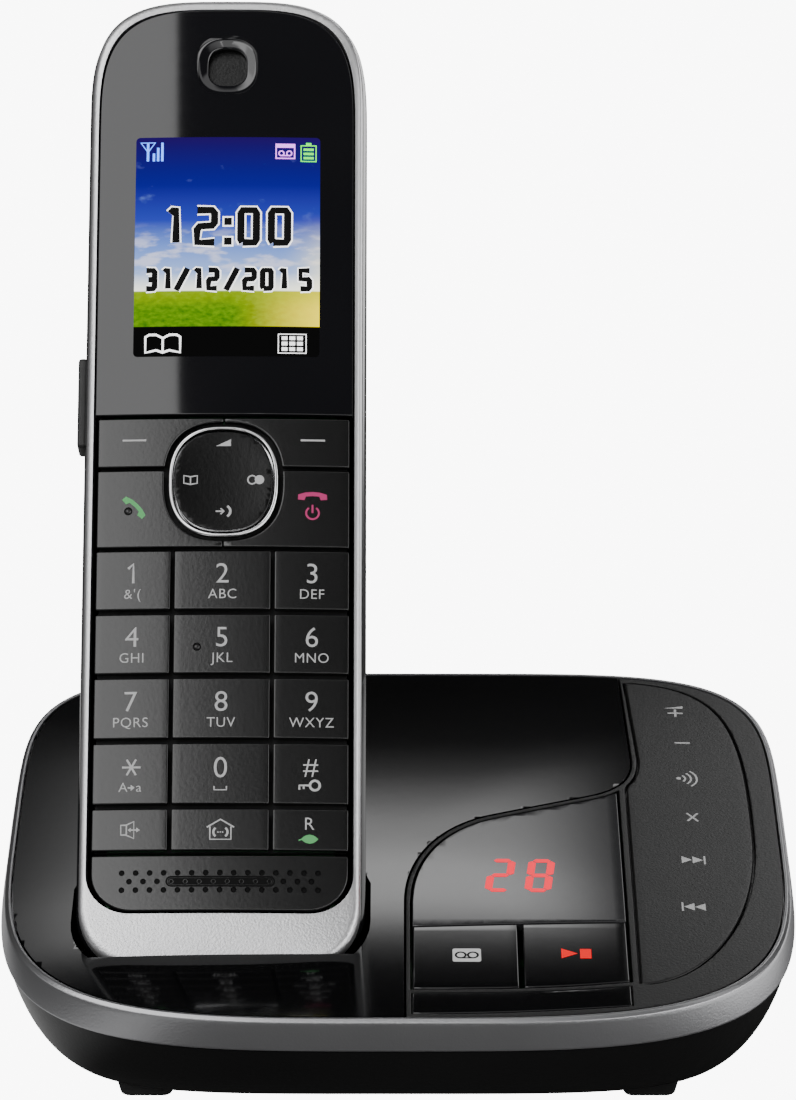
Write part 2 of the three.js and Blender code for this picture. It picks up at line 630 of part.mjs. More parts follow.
place(handset, 'handset_rear_shell', rearShell(), SHELL_BLACK);
place(handset, 'handset_front_frame', frontFrame(), SILVER);
place(handset, 'lens_panel', lensPanel(), GLOSS_BLACK);
place(handset, 'mic_grille', micGrille(), KEY_BLACK);
place(handset, 'battery_cover', batteryCover(), SHELL_BLACK);
place(handset, 'display_module', block([-17, 17], [99, 143], [-4, -2.1]), MODULE);
place(handset, 'key_mat', block([-20.4, 20.4], [18.6, 91.4], [-3.6, -1.6 - KEY_TRAVEL_ROOM]), RUBBER);
place(handset, 'handset_circuit_board', block([-18.5, 18.5], [10, 141], [-5.6, -4.3]), BOARD_GREEN);
place(handset, 'earpiece_speaker', rod(9, 0, EARPIECE_Y, [-6, -2], 20), METAL);
place(handset, 'microphone', rod(3, 0, 13, [-4, -2], 14), METAL);
place(handset, 'handset_loudspeaker', rod(10, 0, 128, [-19.6, -15], 20), METAL);
for (const [name, x] of [['battery_left', -5.8], ['battery_right', 5.8]]) {
  const cell = new THREE.CylinderGeometry(5.25, 5.25, 44.5, 18).translate(x, 76.3, -14.6);
  place(handset, name, toSolid(cell), CELL_GREEN);
}
place(handset, 'battery_contact_strip', block([-10, 10], [99.2, 100], [-18, -10]), METAL);
place(handset, 'headset_socket', cut(
  block([-21.3, -13], grow([JACK_Y, JACK_Y], 3.5), [-12, -6]),
  toSolid(new THREE.CylinderGeometry(1.5, 1.5, 8, 12).rotateZ(Math.PI / 2).translate(-20, JACK_Y, -9)),
), MODULE);
place(handset, 'headset_cover', block(FLAP_X, FLAP_Y, FLAP_Z), RUBBER);
place(handset, 'charge_plate_left', chargePlate(-PIN_X, 0), GOLD);
place(handset, 'charge_plate_right', chargePlate(PIN_X, 0), GOLD);

const [LEFT, MIDDLE, RIGHT] = COLUMNS_X;
place(handset, 'softkey_left', besideNavigator([LEFT[0], 0], SOFT_ROW_Y), KEY_BLACK);
place(handset, 'softkey_right', besideNavigator([0, RIGHT[1]], SOFT_ROW_Y), KEY_BLACK);
place(handset, 'call_key', besideNavigator([LEFT[0], -0.3], CALL_ROW_Y), KEY_BLACK);
place(handset, 'end_key', besideNavigator([0.3, RIGHT[1]], CALL_ROW_Y), KEY_BLACK);
place(handset, 'navigator_ring', navigatorRing(), CHROME);
place(handset, 'navigator_pad', prism(aroundNavigator(NAVIGATOR.pad), -0.35, 1.1), KEY_BLACK);
const DIGIT_NAMES = [['1', '2', '3'], ['4', '5', '6'], ['7', '8', '9'], ['star', '0', 'hash']];
DIGIT_NAMES.forEach((names, row) =>
  names.forEach((name, column) =>
    place(handset, `key_${name}`, keyCap(COLUMNS_X[column], DIGIT_ROWS_Y[row]), KEY_BLACK)));
['speaker', 'intercom', 'recall'].forEach((name, column) =>
  place(handset, `key_${name}`, keyCap(COLUMNS_X[column], FUNCTION_ROW_Y), KEY_BLACK));

// ---- Frame: the origin is the middle of the footprint, at the table --------------------------------------

phone.updateMatrixWorld(true);
const box = new THREE.Box3().setFromObject(phone, true);
phone.position.set(-(box.min.x + box.max.x) / 2, -(box.min.y + box.max.y) / 2, -box.min.z);

export default phone;
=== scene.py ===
import json
import math

import bmesh
import bpy
from mathutils import Matrix, Vector
from mathutils.kdtree import KDTree


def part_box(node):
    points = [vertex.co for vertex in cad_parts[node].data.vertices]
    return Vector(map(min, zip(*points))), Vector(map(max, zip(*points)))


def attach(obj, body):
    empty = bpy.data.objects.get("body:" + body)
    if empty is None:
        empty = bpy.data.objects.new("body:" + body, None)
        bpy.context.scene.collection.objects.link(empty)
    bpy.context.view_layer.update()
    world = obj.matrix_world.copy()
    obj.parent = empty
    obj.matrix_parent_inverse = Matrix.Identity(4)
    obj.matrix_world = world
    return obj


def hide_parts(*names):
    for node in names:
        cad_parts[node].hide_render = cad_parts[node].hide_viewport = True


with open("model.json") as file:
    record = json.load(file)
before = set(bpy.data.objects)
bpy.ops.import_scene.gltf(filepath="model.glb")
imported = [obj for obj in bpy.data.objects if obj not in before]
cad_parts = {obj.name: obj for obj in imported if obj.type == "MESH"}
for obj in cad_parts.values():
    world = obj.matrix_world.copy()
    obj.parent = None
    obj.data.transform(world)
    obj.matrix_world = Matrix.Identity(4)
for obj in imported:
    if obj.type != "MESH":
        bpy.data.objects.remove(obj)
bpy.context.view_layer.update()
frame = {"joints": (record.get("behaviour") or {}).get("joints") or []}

# ---- The camera, the table and the light ----
# A plain white table, a soft box at the front left that fills the left third of the glossy lens,
# a soft band behind that lies across the lid, and weaker lights at the sides, overhead and in front.

foot_boxes = [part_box(f"foot_{end}_{side}") for end in ("front", "rear") for side in ("left", "right")]
BASE_CENTRE = sum((low + high for low, high in foot_boxes), Vector()) / 8
BASE_CENTRE.z = 0
CAMERA_PITCH = math.radians(21.83)
CAMERA_DISTANCE = 0.81515
CAMERA_AIM = BASE_CENTRE + Vector((0, 0, 0.07803))
LAMP_PLACE = Vector((-0.7, -0.9, 1.2))
LAMP_AIM = Vector((0, 0, 0.1))
WHITE = 9.0
TABLE_WIDTH = 6
TABLE_DROP = 0.0002

camera_data = bpy.data.cameras.new("view_camera")
camera_data.lens = 163.64
camera_data.sensor_width = 36
camera_data.clip_start = 0.02
camera = bpy.data.objects.new("view_camera", camera_data)
look = Vector((0, math.cos(CAMERA_PITCH), -math.sin(CAMERA_PITCH)))
camera.location = CAMERA_AIM - look * CAMERA_DISTANCE
camera.rotation_euler = (math.radians(90) - CAMERA_PITCH, 0, 0)
bpy.context.scene.collection.objects.link(camera)
bpy.context.scene.camera = camera


def link(tree, source, target):
    tree.links.new(source, target)


def number(tree, operation, *values, clamp=False):
    node = tree.nodes.new("ShaderNodeMath")
    node.operation = operation
    node.use_clamp = clamp
    for socket, value in zip(node.inputs, values):
        if isinstance(value, bpy.types.NodeSocket):
            link(tree, value, socket)
        else:
            socket.default_value = value
    return node.outputs[0]


def soft_step(tree, value, low, high):
    node = tree.nodes.new("ShaderNodeMapRange")
    node.interpolation_type = "SMOOTHSTEP"
    link(tree, value, node.inputs["Value"])
    node.inputs["From Min"].default_value = low
    node.inputs["From Max"].default_value = high
    return node.outputs["Result"]


def soft_window(tree, value, rise, fall):
    up = soft_step(tree, value, *rise)
    down = soft_step(tree, value, fall[1], fall[0])
    return number(tree, "MULTIPLY", up, down)


def white_to_camera(tree, glow):
    """Plain white where the camera looks straight at it, and the given glow for the object."""
    seen = tree.nodes.new("ShaderNodeLightPath").outputs["Is Camera Ray"]
    unseen = number(tree, "SUBTRACT", 1.0, seen)
    return number(tree, "MULTIPLY_ADD", seen, WHITE, number(tree, "MULTIPLY", glow, unseen))


def soft_box(first, first_edges, second, second_edges):
    """A light with soft edges, from two measures of its direction."""
    return number(
        sky, "MULTIPLY", soft_window(sky, first, *first_edges), soft_window(sky, second, *second_edges))


world = bpy.data.worlds.new("studio")
bpy.context.scene.world = world
world.use_nodes = True
sky = world.node_tree
sky.nodes.clear()
direction = sky.nodes.new("ShaderNodeSeparateXYZ")
link(sky, sky.nodes.new("ShaderNodeTexCoord").outputs["Generated"], direction.inputs[0])
dir_x, dir_y, dir_z = direction.outputs
height = number(sky, "MAXIMUM", dir_z, 0.02)
across = number(sky, "DIVIDE", dir_x, height)
along = number(sky, "DIVIDE", dir_y, height)
flat_x = number(sky, "MULTIPLY", dir_x, dir_x)
flat_y = number(sky, "MULTIPLY", dir_y, dir_y)
level = number(sky, "SQRT", number(sky, "ADD", flat_x, flat_y))
rise = number(sky, "DIVIDE", dir_z, number(sky, "MAXIMUM", level, 0.02))
bearing = number(sky, "DIVIDE", dir_x, number(sky, "MAXIMUM", dir_y, 0.02))

# The back band's strength at each rise, as (rise, strength).
BAND = (
    (0.6, 0.0), (0.69, 0.02), (0.727, 0.2), (0.759, 0.85), (0.786, 1.8), (0.81, 2.8), (0.85, 2.8),
    (0.868, 2.2), (0.89, 1.1), (0.905, 0.55), (0.922, 0.25), (0.955, 0.02), (1.0, 0.0),
)
BAND_START, BAND_END = BAND[0][0], BAND[-1][0]
BAND_FULL = 3
band_ramp = sky.nodes.new("ShaderNodeFloatCurve")
band_points = band_ramp.mapping.curves[0].points
while len(band_points) < len(BAND):
    band_points.new(0.5, 0.5)
for point, (stop, strength) in zip(band_points, BAND):
    point.location = ((stop - BAND_START) / (BAND_END - BAND_START), strength / BAND_FULL)
    point.handle_type = "VECTOR"
band_ramp.mapping.update()
band_share = number(sky, "MULTIPLY_ADD", rise, 2.5, -1.5, clamp=True)
link(sky, band_share, band_ramp.inputs["Value"])

left_box = soft_box(across, ((-1.6, -1.2), (-0.122, -0.112)), along, ((-1.7, -1.4), (-0.25, 0.0)))
band_width = soft_window(sky, bearing, (-0.21, -0.03), (0.03, 0.1))
back_band = number(sky, "MULTIPLY", band_ramp.outputs["Value"], band_width)
right_band = soft_box(rise, ((0.45, 0.66), (0.86, 1.1)), bearing, ((0.1, 0.17), (0.8, 1.2)))
top_strip = soft_box(along, ((-0.46, -0.36), (-0.12, 0.0)), across, ((-1.6, -1.2), (1.2, 1.6)))
sideways = soft_window(sky, number(sky, "ABSOLUTE", across), (1.4, 2.2), (6.0, 9.0))
side_glow = number(sky, "MULTIPLY", sideways, soft_step(sky, dir_y, 0.5, -0.3))
side_power = number(sky, "MULTIPLY_ADD", soft_step(sky, dir_x, -0.2, 0.2), 2.6, 1.0)
front_fill = soft_box(along, ((-3.4, -2.4), (-1.2, -0.95)), across, ((-2.2, -1.4), (-0.3, 0.9)))
above = soft_step(sky, dir_z, 0.02, 0.06)
glow = 0.0
for light, power in ((left_box, 2.4), (back_band, float(BAND_FULL)), (right_band, 2.4), (top_strip, 1.0),
                     (side_glow, side_power), (front_fill, 1.5), (above, 0.02)):
    glow = number(sky, "MULTIPLY_ADD", light, power, glow)
background = sky.nodes.new("ShaderNodeBackground")
background.inputs["Color"].default_value = (1, 1, 1, 1)
link(sky, white_to_camera(sky, glow), background.inputs["Strength"])
world_output = sky.nodes.new("ShaderNodeOutputWorld")
link(sky, background.outputs[0], world_output.inputs["Surface"])

lamp_data = bpy.data.lights.new("front_lamp", "AREA")
lamp_data.energy = 14
lamp_data.size = 0.9
lamp = bpy.data.objects.new("front_lamp", lamp_data)
lamp.location = LAMP_PLACE
lamp.rotation_euler = (LAMP_PLACE - LAMP_AIM).to_track_quat("Z", "Y").to_euler()
lamp.visible_glossy = False
bpy.context.scene.collection.objects.link(lamp)

bpy.ops.object.select_all(action="DESELECT")
bpy.ops.mesh.primitive_plane_add(size=TABLE_WIDTH, location=(0, 0, 0))
table = bpy.context.object
table.name = "table"
table_finish = bpy.data.materials.new("white_table")
table_finish.use_nodes = True
table_tree = table_finish.node_tree
table_shader = table_tree.nodes["Principled BSDF"]
for socket, value in (("Base Color", (0.06, 0.06, 0.06, 1)), ("Roughness", 0.9), ("Specular IOR Level", 0.0),
                      ("Emission Color", (1, 1, 1, 1))):
    table_shader.inputs[socket].default_value = value
table_place = table_tree.nodes.new("ShaderNodeSeparateXYZ")
link(table_tree, table_tree.nodes.new("ShaderNodeTexCoord").outputs["Object"], table_place.inputs[0])
table_x = table_place.outputs["X"]
bounce = number(table_tree, "MULTIPLY", soft_step(table_tree, table_x, 0.09, 0.13), 1.8)
left_bounce = soft_window(table_tree, table_x, (-0.1, -0.085), (-0.07, -0.05))
bounce = number(table_tree, "MULTIPLY_ADD", left_bounce, 0.6, bounce)
link(table_tree, white_to_camera(table_tree, bounce), table_shader.inputs["Emission Strength"])
table.data.materials.append(table_finish)
table.location.z = -TABLE_DROP

# ---- The rear shell of the handset ----
# One deep moulding in glossy black ABS, crowned at the back and drawn in at both ends.
# It carries the battery bay, the slots of the loudspeaker, and the recess of the headset cover.
# It snaps to the front frame all round.

MM = 0.001
joint = {j["name"]: j for j in frame["joints"]}


def model_frame(origin, y_axis, z_axis):
    """A matrix from millimetres in a sloping frame to metres in the model."""
    y_axis, z_axis = Vector(y_axis), Vector(z_axis)
    x_axis = y_axis.cross(z_axis)
    turn = Matrix((x_axis, y_axis, z_axis)).transposed().to_4x4()
    return Matrix.Translation(origin) @ turn @ Matrix.Scale(MM, 4)


# The handset's frame: x across, y up along it from the chin's lower edge, z out of its face.
UP_HANDSET = Vector(joint["handset_lift"]["axis"])
OUT_OF_FACE = -Vector(joint["key_5_press"]["axis"])
pin_boxes = [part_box("charge_pin_left"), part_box("charge_pin_right")]
PIN_MIDDLE = sum((low + high for low, high in pin_boxes), Vector()) / 4
CHIN_EDGE = PIN_MIDDLE + UP_HANDSET * 2.5 * MM + OUT_OF_FACE * 6 * MM
HANDSET = model_frame(CHIN_EDGE, UP_HANDSET, OUT_OF_FACE)

HANDSET_LENGTH = 167.2
HANDSET_DEPTH = 22.6
HALF_WIDTH = 23.5
CAP_HEIGHT = 22.5
CAP_POWER = 3.5
SHELL_WALL = 1.6
BAY_Y = (50.3, 103.7)
BAY_HALF = 16.5
BAY_CUT_Z = (-40, -17)
FLAP_Y = (88.6, 104.2)
FLAP_Z = (-12, -6)
GAP = 0.35
GRIP_HALF = 7
SPEAKER_SLOTS_Y = (122, 125, 128, 131, 134)


def end_outline(half, bottom, top, corner, cap_height, chin_steps=10, cap_steps=26):
    """The handset's outline: elliptical chin corners and an arched top."""
    right = []
    for i in range(chin_steps + 1):
        angle = i / chin_steps * math.pi / 2
        x = half - corner[0] + corner[0] * math.sin(angle)
        right.append((x, bottom + corner[1] - corner[1] * math.cos(angle)))
    for i in range(cap_steps):
        angle = i / cap_steps * math.pi / 2
        x = half * math.cos(angle) ** (2 / CAP_POWER)
        right.append((x, top - cap_height + cap_height * math.sin(angle) ** (2 / CAP_POWER)))
    left = [(-x, y) for x, y in reversed(right)]
    return right + [(0, top)] + left


def pick(*pieces):
    """Selects only these pieces, the first one active."""
    bpy.ops.object.select_all(action="DESELECT")
    for piece in pieces:
        piece.select_set(True)
    bpy.context.view_layer.objects.active = pieces[0]


def start(operator, **options):
    """Adds a primitive with nothing else selected and returns its object."""
    bpy.ops.object.select_all(action="DESELECT")
    operator(**options)
    return bpy.context.object


def loft(rings):
    """A skin through rings of points: the first ring is filled, and the rest are extruded from it."""
    piece = start(bpy.ops.mesh.primitive_circle_add, vertices=len(rings[0]), fill_type="NGON")
    for vertex, point in zip(piece.data.vertices, rings[0]):
        vertex.co = point
    bpy.ops.object.mode_set(mode="EDIT")
    bpy.ops.mesh.select_all(action="SELECT")
    for below, ring in zip(rings, rings[1:]):
        bpy.ops.mesh.extrude_region_move()
        edit = bmesh.from_edit_mesh(piece.data)
        nearest = KDTree(len(below))
        for i, point in enumerate(below):
            nearest.insert(point, i)
        nearest.balance()
        for vertex in edit.verts:
            if vertex.select:
                vertex.co = ring[nearest.find(vertex.co)[1]]
        bmesh.update_edit_mesh(piece.data)
    bpy.ops.mesh.select_all(action="SELECT")
    bpy.ops.mesh.normals_make_consistent(inside=False)
    bpy.ops.object.mode_set(mode="OBJECT")
    return piece


def flat(outline, z):
    return [(x, y, z) for x, y in outline]


def plate(outline, z0, z1):
    """A flat slab with a given outline."""
    return loft([flat(outline, z0), flat(outline, z1)])


def block(x, y, z):
    """A rectangular tool, for cutting."""
    middle = ((x[0] + x[1]) / 2, (y[0] + y[1]) / 2, (z[0] + z[1]) / 2)
    size = (x[1] - x[0], y[1] - y[0], z[1] - z[0])
    tool = start(bpy.ops.mesh.primitive_cube_add, size=1, location=middle, scale=size)
    bpy.ops.object.transform_apply(location=True, scale=True)
    return tool


def apply_modifier(piece, kind, **options):
    pick(piece)
    modifier = piece.modifiers.new(kind.lower(), kind)
    for option, value in options.items():
        setattr(modifier, option, value)
    bpy.ops.object.modifier_apply(modifier=modifier.name)


def combine(piece, tool, operation, keep=False):
    """A boolean of two closed pieces. The tool is used up unless it is kept."""
    apply_modifier(piece, "BOOLEAN", object=tool, operation=operation, solver="EXACT")
    if not keep:
        bpy.data.objects.remove(tool)


def cut(piece, *tools):
    for tool in tools:
        combine(piece, tool, "DIFFERENCE")


def copy_of(piece):
    twin = piece.copy()
    twin.data = piece.data.copy()
    bpy.context.scene.collection.objects.link(twin)
    return twin


def soften(piece, width, segments=3, angle=35):
    apply_modifier(
        piece, "BEVEL", width=width, segments=segments, limit_method="ANGLE",
        angle_limit=math.radians(angle), harden_normals=False,
    )


def dice(piece, spacing_x, spacing_y=None):
    """Cuts the faces along a grid, so that a later bend or crown is smooth."""
    pick(piece)
    xs = [v.co.x for v in piece.data.vertices]
    ys = [v.co.y for v in piece.data.vertices]
    bpy.ops.object.mode_set(mode="EDIT")
    for axis, values, spacing in ((0, xs, spacing_x), (1, ys, spacing_y)):
        if not spacing:
            continue
        count = int((max(values) - min(values)) / spacing)
        for i in range(1, count + 1):
            place = [0.0, 0.0, 0.0]
            place[axis] = min(values) + (max(values) - min(values)) * i / (count + 1)
            normal = [0.0, 0.0, 0.0]
            normal[axis] = 1.0
            bpy.ops.mesh.select_all(action="SELECT")
            bpy.ops.mesh.bisect(plane_co=place, plane_no=normal)
    bpy.ops.object.mode_set(mode="OBJECT")


def lay_on(piece, surface):
    """Lifts every point by the height of a surface over its place."""
    for vertex in piece.data.vertices:
        vertex.co.z += surface(vertex.co.x, vertex.co.y)


def deliver(piece, name, place, body, finish, nodes=(), angle=32):
    """Moves a piece into the model, names it, shades it and hands it to its body."""
    piece.name = name
    piece.data.name = name
    piece.data.transform(place)
    piece.matrix_world = Matrix.Identity(4)
    piece.data.materials.clear()
    piece.data.materials.append(finish)
    pick(piece)
    bpy.ops.object.shade_smooth_by_angle(angle=math.radians(angle))
    apply_modifier(piece, "WEIGHTED_NORMAL", keep_sharp=True, weight=80)
    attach(piece, body)
    if nodes:
        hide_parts(*nodes)
    return piece


def node_of(tree, kind, **values):
    """A shader node with some of its sockets set."""
    node = tree.nodes.new(kind)
    for key, value in values.items():
        node.inputs[key.replace("_", " ")].default_value = value
    return node


def ramp(tree, value, *stops):
    """A colour ramp over a value, from (position, colour) stops."""
    node = tree.nodes.new("ShaderNodeValToRGB")
    elements = node.color_ramp.elements
    while len(elements) < len(stops):
        elements.new(0.5)
    for element, (position, color) in zip(elements, stops):
        element.position = position
        element.color = (*color, 1)
    link(tree, value, node.inputs["Fac"])
    return node.outputs["Color"]


def moulded(name, dark, light, roughness, grain=900, relief=0.02, patch=35, spread=0.06, coat=0.0, specular=0.5):
    """Plastic: two near shades in slow patches, a fine grain in its relief, and gloss that varies a little."""
    finish = bpy.data.materials.new(name)
    finish.use_nodes = True
    tree = finish.node_tree
    shader = tree.nodes["Principled BSDF"]
    place = tree.nodes.new("ShaderNodeTexCoord").outputs["Object"]
    slow = node_of(tree, "ShaderNodeTexNoise", Scale=patch, Detail=3)
    fine = node_of(tree, "ShaderNodeTexNoise", Scale=grain, Detail=2)
    gloss = node_of(tree, "ShaderNodeMapRange", To_Min=roughness - spread / 2, To_Max=roughness + spread / 2)
    bump = node_of(tree, "ShaderNodeBump", Strength=relief, Distance=0.0002)
    for noise in (slow, fine):
        link(tree, place, noise.inputs["Vector"])
    link(tree, ramp(tree, slow.outputs["Fac"], (0.3, dark), (0.7, light)), shader.inputs["Base Color"])
    link(tree, fine.outputs["Fac"], gloss.inputs["Value"])
    link(tree, fine.outputs["Fac"], bump.inputs["Height"])
    link(tree, gloss.outputs["Result"], shader.inputs["Roughness"])
    link(tree, bump.outputs["Normal"], shader.inputs["Normal"])
    shader.inputs["Coat Weight"].default_value = coat
    shader.inputs["Coat Roughness"].default_value = 0.04
    shader.inputs["Specular IOR Level"].default_value = specular
    return finish


# Each layer of the shell: depth, and how far it draws in at the sides, the chin and the top.
SHELL_LAYERS = (
    (-3.1, 0.6, 0.6, 0.7), (-4.2, 0.35, 0.42, 0.3), (-5.5, 0.15, 0.3, 0), (-7.2, 0.04, 0.3, 0),
    (-9, 0, 0.4, 0.1), (-11.5, 0.12, 0.8, 0.6), (-14, 0.45, 1.5, 1.5), (-16.2, 1.1, 2.4, 2.7),
    (-18, 2.0, 3.6, 4.2), (-19.5, 3.2, 5.2, 6.4), (-20.7, 4.7, 7.0, 9.2), (-21.6, 6.5, 9.0, 12.4),
    (-22.2, 8.6, 11.4, 16.0), (-22.6, 11.5, 14.5, 21.0),
)


def shell_body(wall):
    rings = []
    for i, (z, side, chin, top) in enumerate(SHELL_LAYERS):
        depth = max(z, -HANDSET_DEPTH + wall + 0.02 * (len(SHELL_LAYERS) - i))
        if wall and i == 0:
            depth = z + 1
        outline = end_outline(
            HALF_WIDTH - side - wall, chin + wall, HANDSET_LENGTH - top - wall, (8, 9), CAP_HEIGHT)
        rings.append(flat(outline, depth if wall else z))
    return loft(rings)


shell_gloss = moulded("shell_gloss_black", (0.006, 0.006, 0.007), (0.01, 0.01, 0.011), 0.16, coat=0.35)
rear_shell = shell_body(0)
cut(rear_shell, shell_body(SHELL_WALL))
bay_lid = copy_of(rear_shell)
combine(bay_lid, block((-BAY_HALF, BAY_HALF), BAY_Y, BAY_CUT_Z), "INTERSECT")
cut(
    rear_shell,
    block((-BAY_HALF - GAP, BAY_HALF + GAP), (BAY_Y[0] - GAP, BAY_Y[1] + GAP), BAY_CUT_Z),
    block((-30, -22.7), (FLAP_Y[0] - GAP, FLAP_Y[1] + GAP), (FLAP_Z[0] - GAP, FLAP_Z[1] + GAP)),
)
for y in SPEAKER_SLOTS_Y:
    cut(rear_shell, block((-GRIP_HALF, GRIP_HALF), (y - 0.6, y + 0.6), (-30, -19)))
deliver(rear_shell, "rear_shell", HANDSET, "handset", shell_gloss, ["handset_rear_shell"])

# ---- The battery cover ----
# A panel of the same black ABS, cut to the curve of the back and held by tabs at its far end.
# Five short ribs near its top give the thumb a grip to slide it off.

RIB_ROWS_Y = (90.5, 92.5, 94.5, 96.5, 98.5)
for y in RIB_ROWS_Y:
    rib = block((-GRIP_HALF, GRIP_HALF), (y - 0.4, y + 0.4), (-HANDSET_DEPTH - 0.35, -22))
    combine(bay_lid, rib, "UNION")
soften(bay_lid, 0.18, 2, 50)
deliver(bay_lid, "battery_cover_panel", HANDSET, "battery_cover", shell_gloss, ["battery_cover"])

# ---- The silver front frame ----
# One ABS moulding in satin silver paint with a fine metallic grain, screwed to the rear shell.
# It surrounds the lens and the keys with a thin rim and ends below in the broad chin.

FACE_HALF = 22.3
FACE_CROWN = 0.9
FRAME_TOP = 165.7
OPENING = end_outline(21.6, 8.0, 164.3, (7.2, 6.5), 23)
FRAME_LAYERS = ((-2.7, 0.5), (-0.9, 0.42), (-0.35, 0.25), (-0.05, -0.02), (0.12, -0.3), (0.2, -0.7))


def face(x, y=0.0):
    """Height of the crowned face at a place across it."""
    return FACE_CROWN * (1 - (x / FACE_HALF) ** 2)


def ease(value, low, high):
    share = min(max((value - low) / (high - low), 0), 1)
    return share * share * (3 - 2 * share)


def painted_metal(name, base, roughness, metallic, sparkle):
    """Metallic paint: fine flakes in its relief and its shade, and slow uneven gloss."""
    finish = moulded(name, [0.94 * c for c in base], base, roughness, grain=2600, relief=sparkle, patch=60)
    finish.node_tree.nodes["Principled BSDF"].inputs["Metallic"].default_value = metallic
    return finish


satin_silver = painted_metal("satin_silver_paint", (0.74, 0.74, 0.75), 0.33, 0.88, 0.24)
front_frame = loft([
    flat(end_outline(FACE_HALF + by, 0.25 - by, FRAME_TOP + by, (8, 9.5), CAP_HEIGHT), z)
    for z, by in FRAME_LAYERS
])
cut(front_frame, plate(OPENING, -10, 10))
soften(front_frame, 0.12, 2, 60)
dice(front_frame, 2.2, 4)
lay_on(front_frame, lambda x, y: face(x) * ease(y, 0, 7) * (1 - ease(y, 158, 165)) if abs(x) < FACE_HALF else 0)
deliver(front_frame, "front_frame", HANDSET, "handset", satin_silver, ["handset_front_frame"])

# ---- The lens panel with the earpiece ----
# A sheet of clear acrylic printed black behind, bonded into the front frame and crowned like the keypad.
# The earpiece is a rounded square dish in it, with a softer lip and a dark mesh at the bottom.

LENS_Y = (92.1, 163.9)
LENS_HALF = 21.3
EARPIECE_Y = 153.9


def superellipse(half_x, half_y, power_low, power_high, count, x=0, y=0):
    points = []
    for i in range(count):
        angle = (i + 0.5) / count * 2 * math.pi
        c, s = math.cos(angle), math.sin(angle)
        exponent = 2 / (power_high if s > 0 else power_low)
        points.append((
            x + half_x * math.copysign(abs(c) ** exponent, c),
            y + half_y * math.copysign(abs(s) ** exponent, s),
        ))
    return points


def earpiece_ring(half, z):
    return flat(superellipse(half, half * 1.03, 2.7, 2.7, 48, 0, EARPIECE_Y), z)


lens_black = moulded(
    "lens_gloss_black", (0.004, 0.004, 0.005), (0.006, 0.006, 0.007), 0.05, 500, 0.004, 20, 0.02, 0.6)
lens_outline = [p for p in end_outline(LENS_HALF, 8.3, LENS_Y[1], (7, 6.5), 22.6) if p[1] > LENS_Y[0] + 1]
lens_outline = [(-LENS_HALF, LENS_Y[0]), (LENS_HALF, LENS_Y[0])] + lens_outline
lens = plate(lens_outline, -1.6, 0)
soften(lens, 0.22, 3, 60)
dice(lens, 1.6, 6)
lay_on(lens, face)
cut(lens, loft([
    earpiece_ring(3.3, -4), earpiece_ring(3.3, 0.0), earpiece_ring(3.55, 0.22), earpiece_ring(4.4, 0.34),
    earpiece_ring(4.85, 0.5), earpiece_ring(5.15, 0.8), earpiece_ring(5.6, 1.4),
]))
deliver(lens, "lens", HANDSET, "handset", lens_black, ["lens_panel"], 40)

mesh_black = moulded("acoustic_mesh", (0.003, 0.003, 0.003), (0.006, 0.006, 0.006), 0.25, 2200, 0.1)
ear_mesh = plate(superellipse(4.2, 4.3, 2.7, 2.7, 32, 0, EARPIECE_Y), -1.95, -1.65)
deliver(ear_mesh, "earpiece_mesh", HANDSET, "handset", mesh_black)

# ---- The screen picture ----
# A colour display behind the lens, lit from behind: a meadow under a blue sky, with the time and the date.
# The symbols are drawn on it as thin shapes, white or black, with the soft-key names in a black bar below.

SCREEN_X = (-15.2, 15.7)
SCREEN_Y = (102.2, 140.95)
SCREEN_LIFT = 0.03


def blend_colors(tree, share, first, second):
    node = tree.nodes.new("ShaderNodeMix")
    node.data_type = "RGBA"
    link(tree, share, node.inputs[0])
    for socket, value in ((node.inputs[6], first), (node.inputs[7], second)):
        if isinstance(value, bpy.types.NodeSocket):
            link(tree, value, socket)
        else:
            socket.default_value = (*value, 1)
    return node.outputs[2]


def noise_at(tree, place, scale, stretch, detail=5):
    grid = tree.nodes.new("ShaderNodeVectorMath")
    grid.operation = "MULTIPLY"
    link(tree, place, grid.inputs[0])
    grid.inputs[1].default_value = stretch
    node = node_of(tree, "ShaderNodeTexNoise", Scale=scale, Detail=detail)
    link(tree, grid.outputs[0], node.inputs["Vector"])
    return node.outputs["Fac"]


picture = bpy.data.materials.new("screen_picture")
picture.use_nodes = True
tree = picture.node_tree
shader = tree.nodes["Principled BSDF"]
spot = tree.nodes.new("ShaderNodeUVMap").outputs["UV"]
split = tree.nodes.new("ShaderNodeSeparateXYZ")
link(tree, spot, split.inputs[0])
u, v = split.outputs[0], split.outputs[1]
sky_color = ramp(
    tree, v, (0.30, (0.7, 0.71, 0.6)), (0.38, (0.16, 0.24, 0.45)), (0.5, (0.07, 0.13, 0.36)),
    (0.62, (0.012, 0.018, 0.2)), (0.78, (0.005, 0.002, 0.1)), (1.0, (0.006, 0.0, 0.045)),
)
cloud_bands = number(
    tree, "MULTIPLY",
    soft_window(tree, v, (0.33, 0.42), (0.47, 0.62)),
    soft_step(tree, noise_at(tree, spot, 5, (1.0, 3.6, 1)), 0.47, 0.62),
)
high_clouds = number(
    tree, "MULTIPLY",
    soft_window(tree, v, (0.55, 0.7), (0.9, 0.95)),
    soft_step(tree, noise_at(tree, spot, 6, (1.0, 1.8, 1)), 0.6, 0.78),
)
sky_color = blend_colors(tree, number(tree, "MULTIPLY", cloud_bands, 0.8), sky_color, (0.36, 0.37, 0.48))
sky_color = blend_colors(tree, number(tree, "MULTIPLY", high_clouds, 0.6), sky_color, (0.07, 0.12, 0.34))
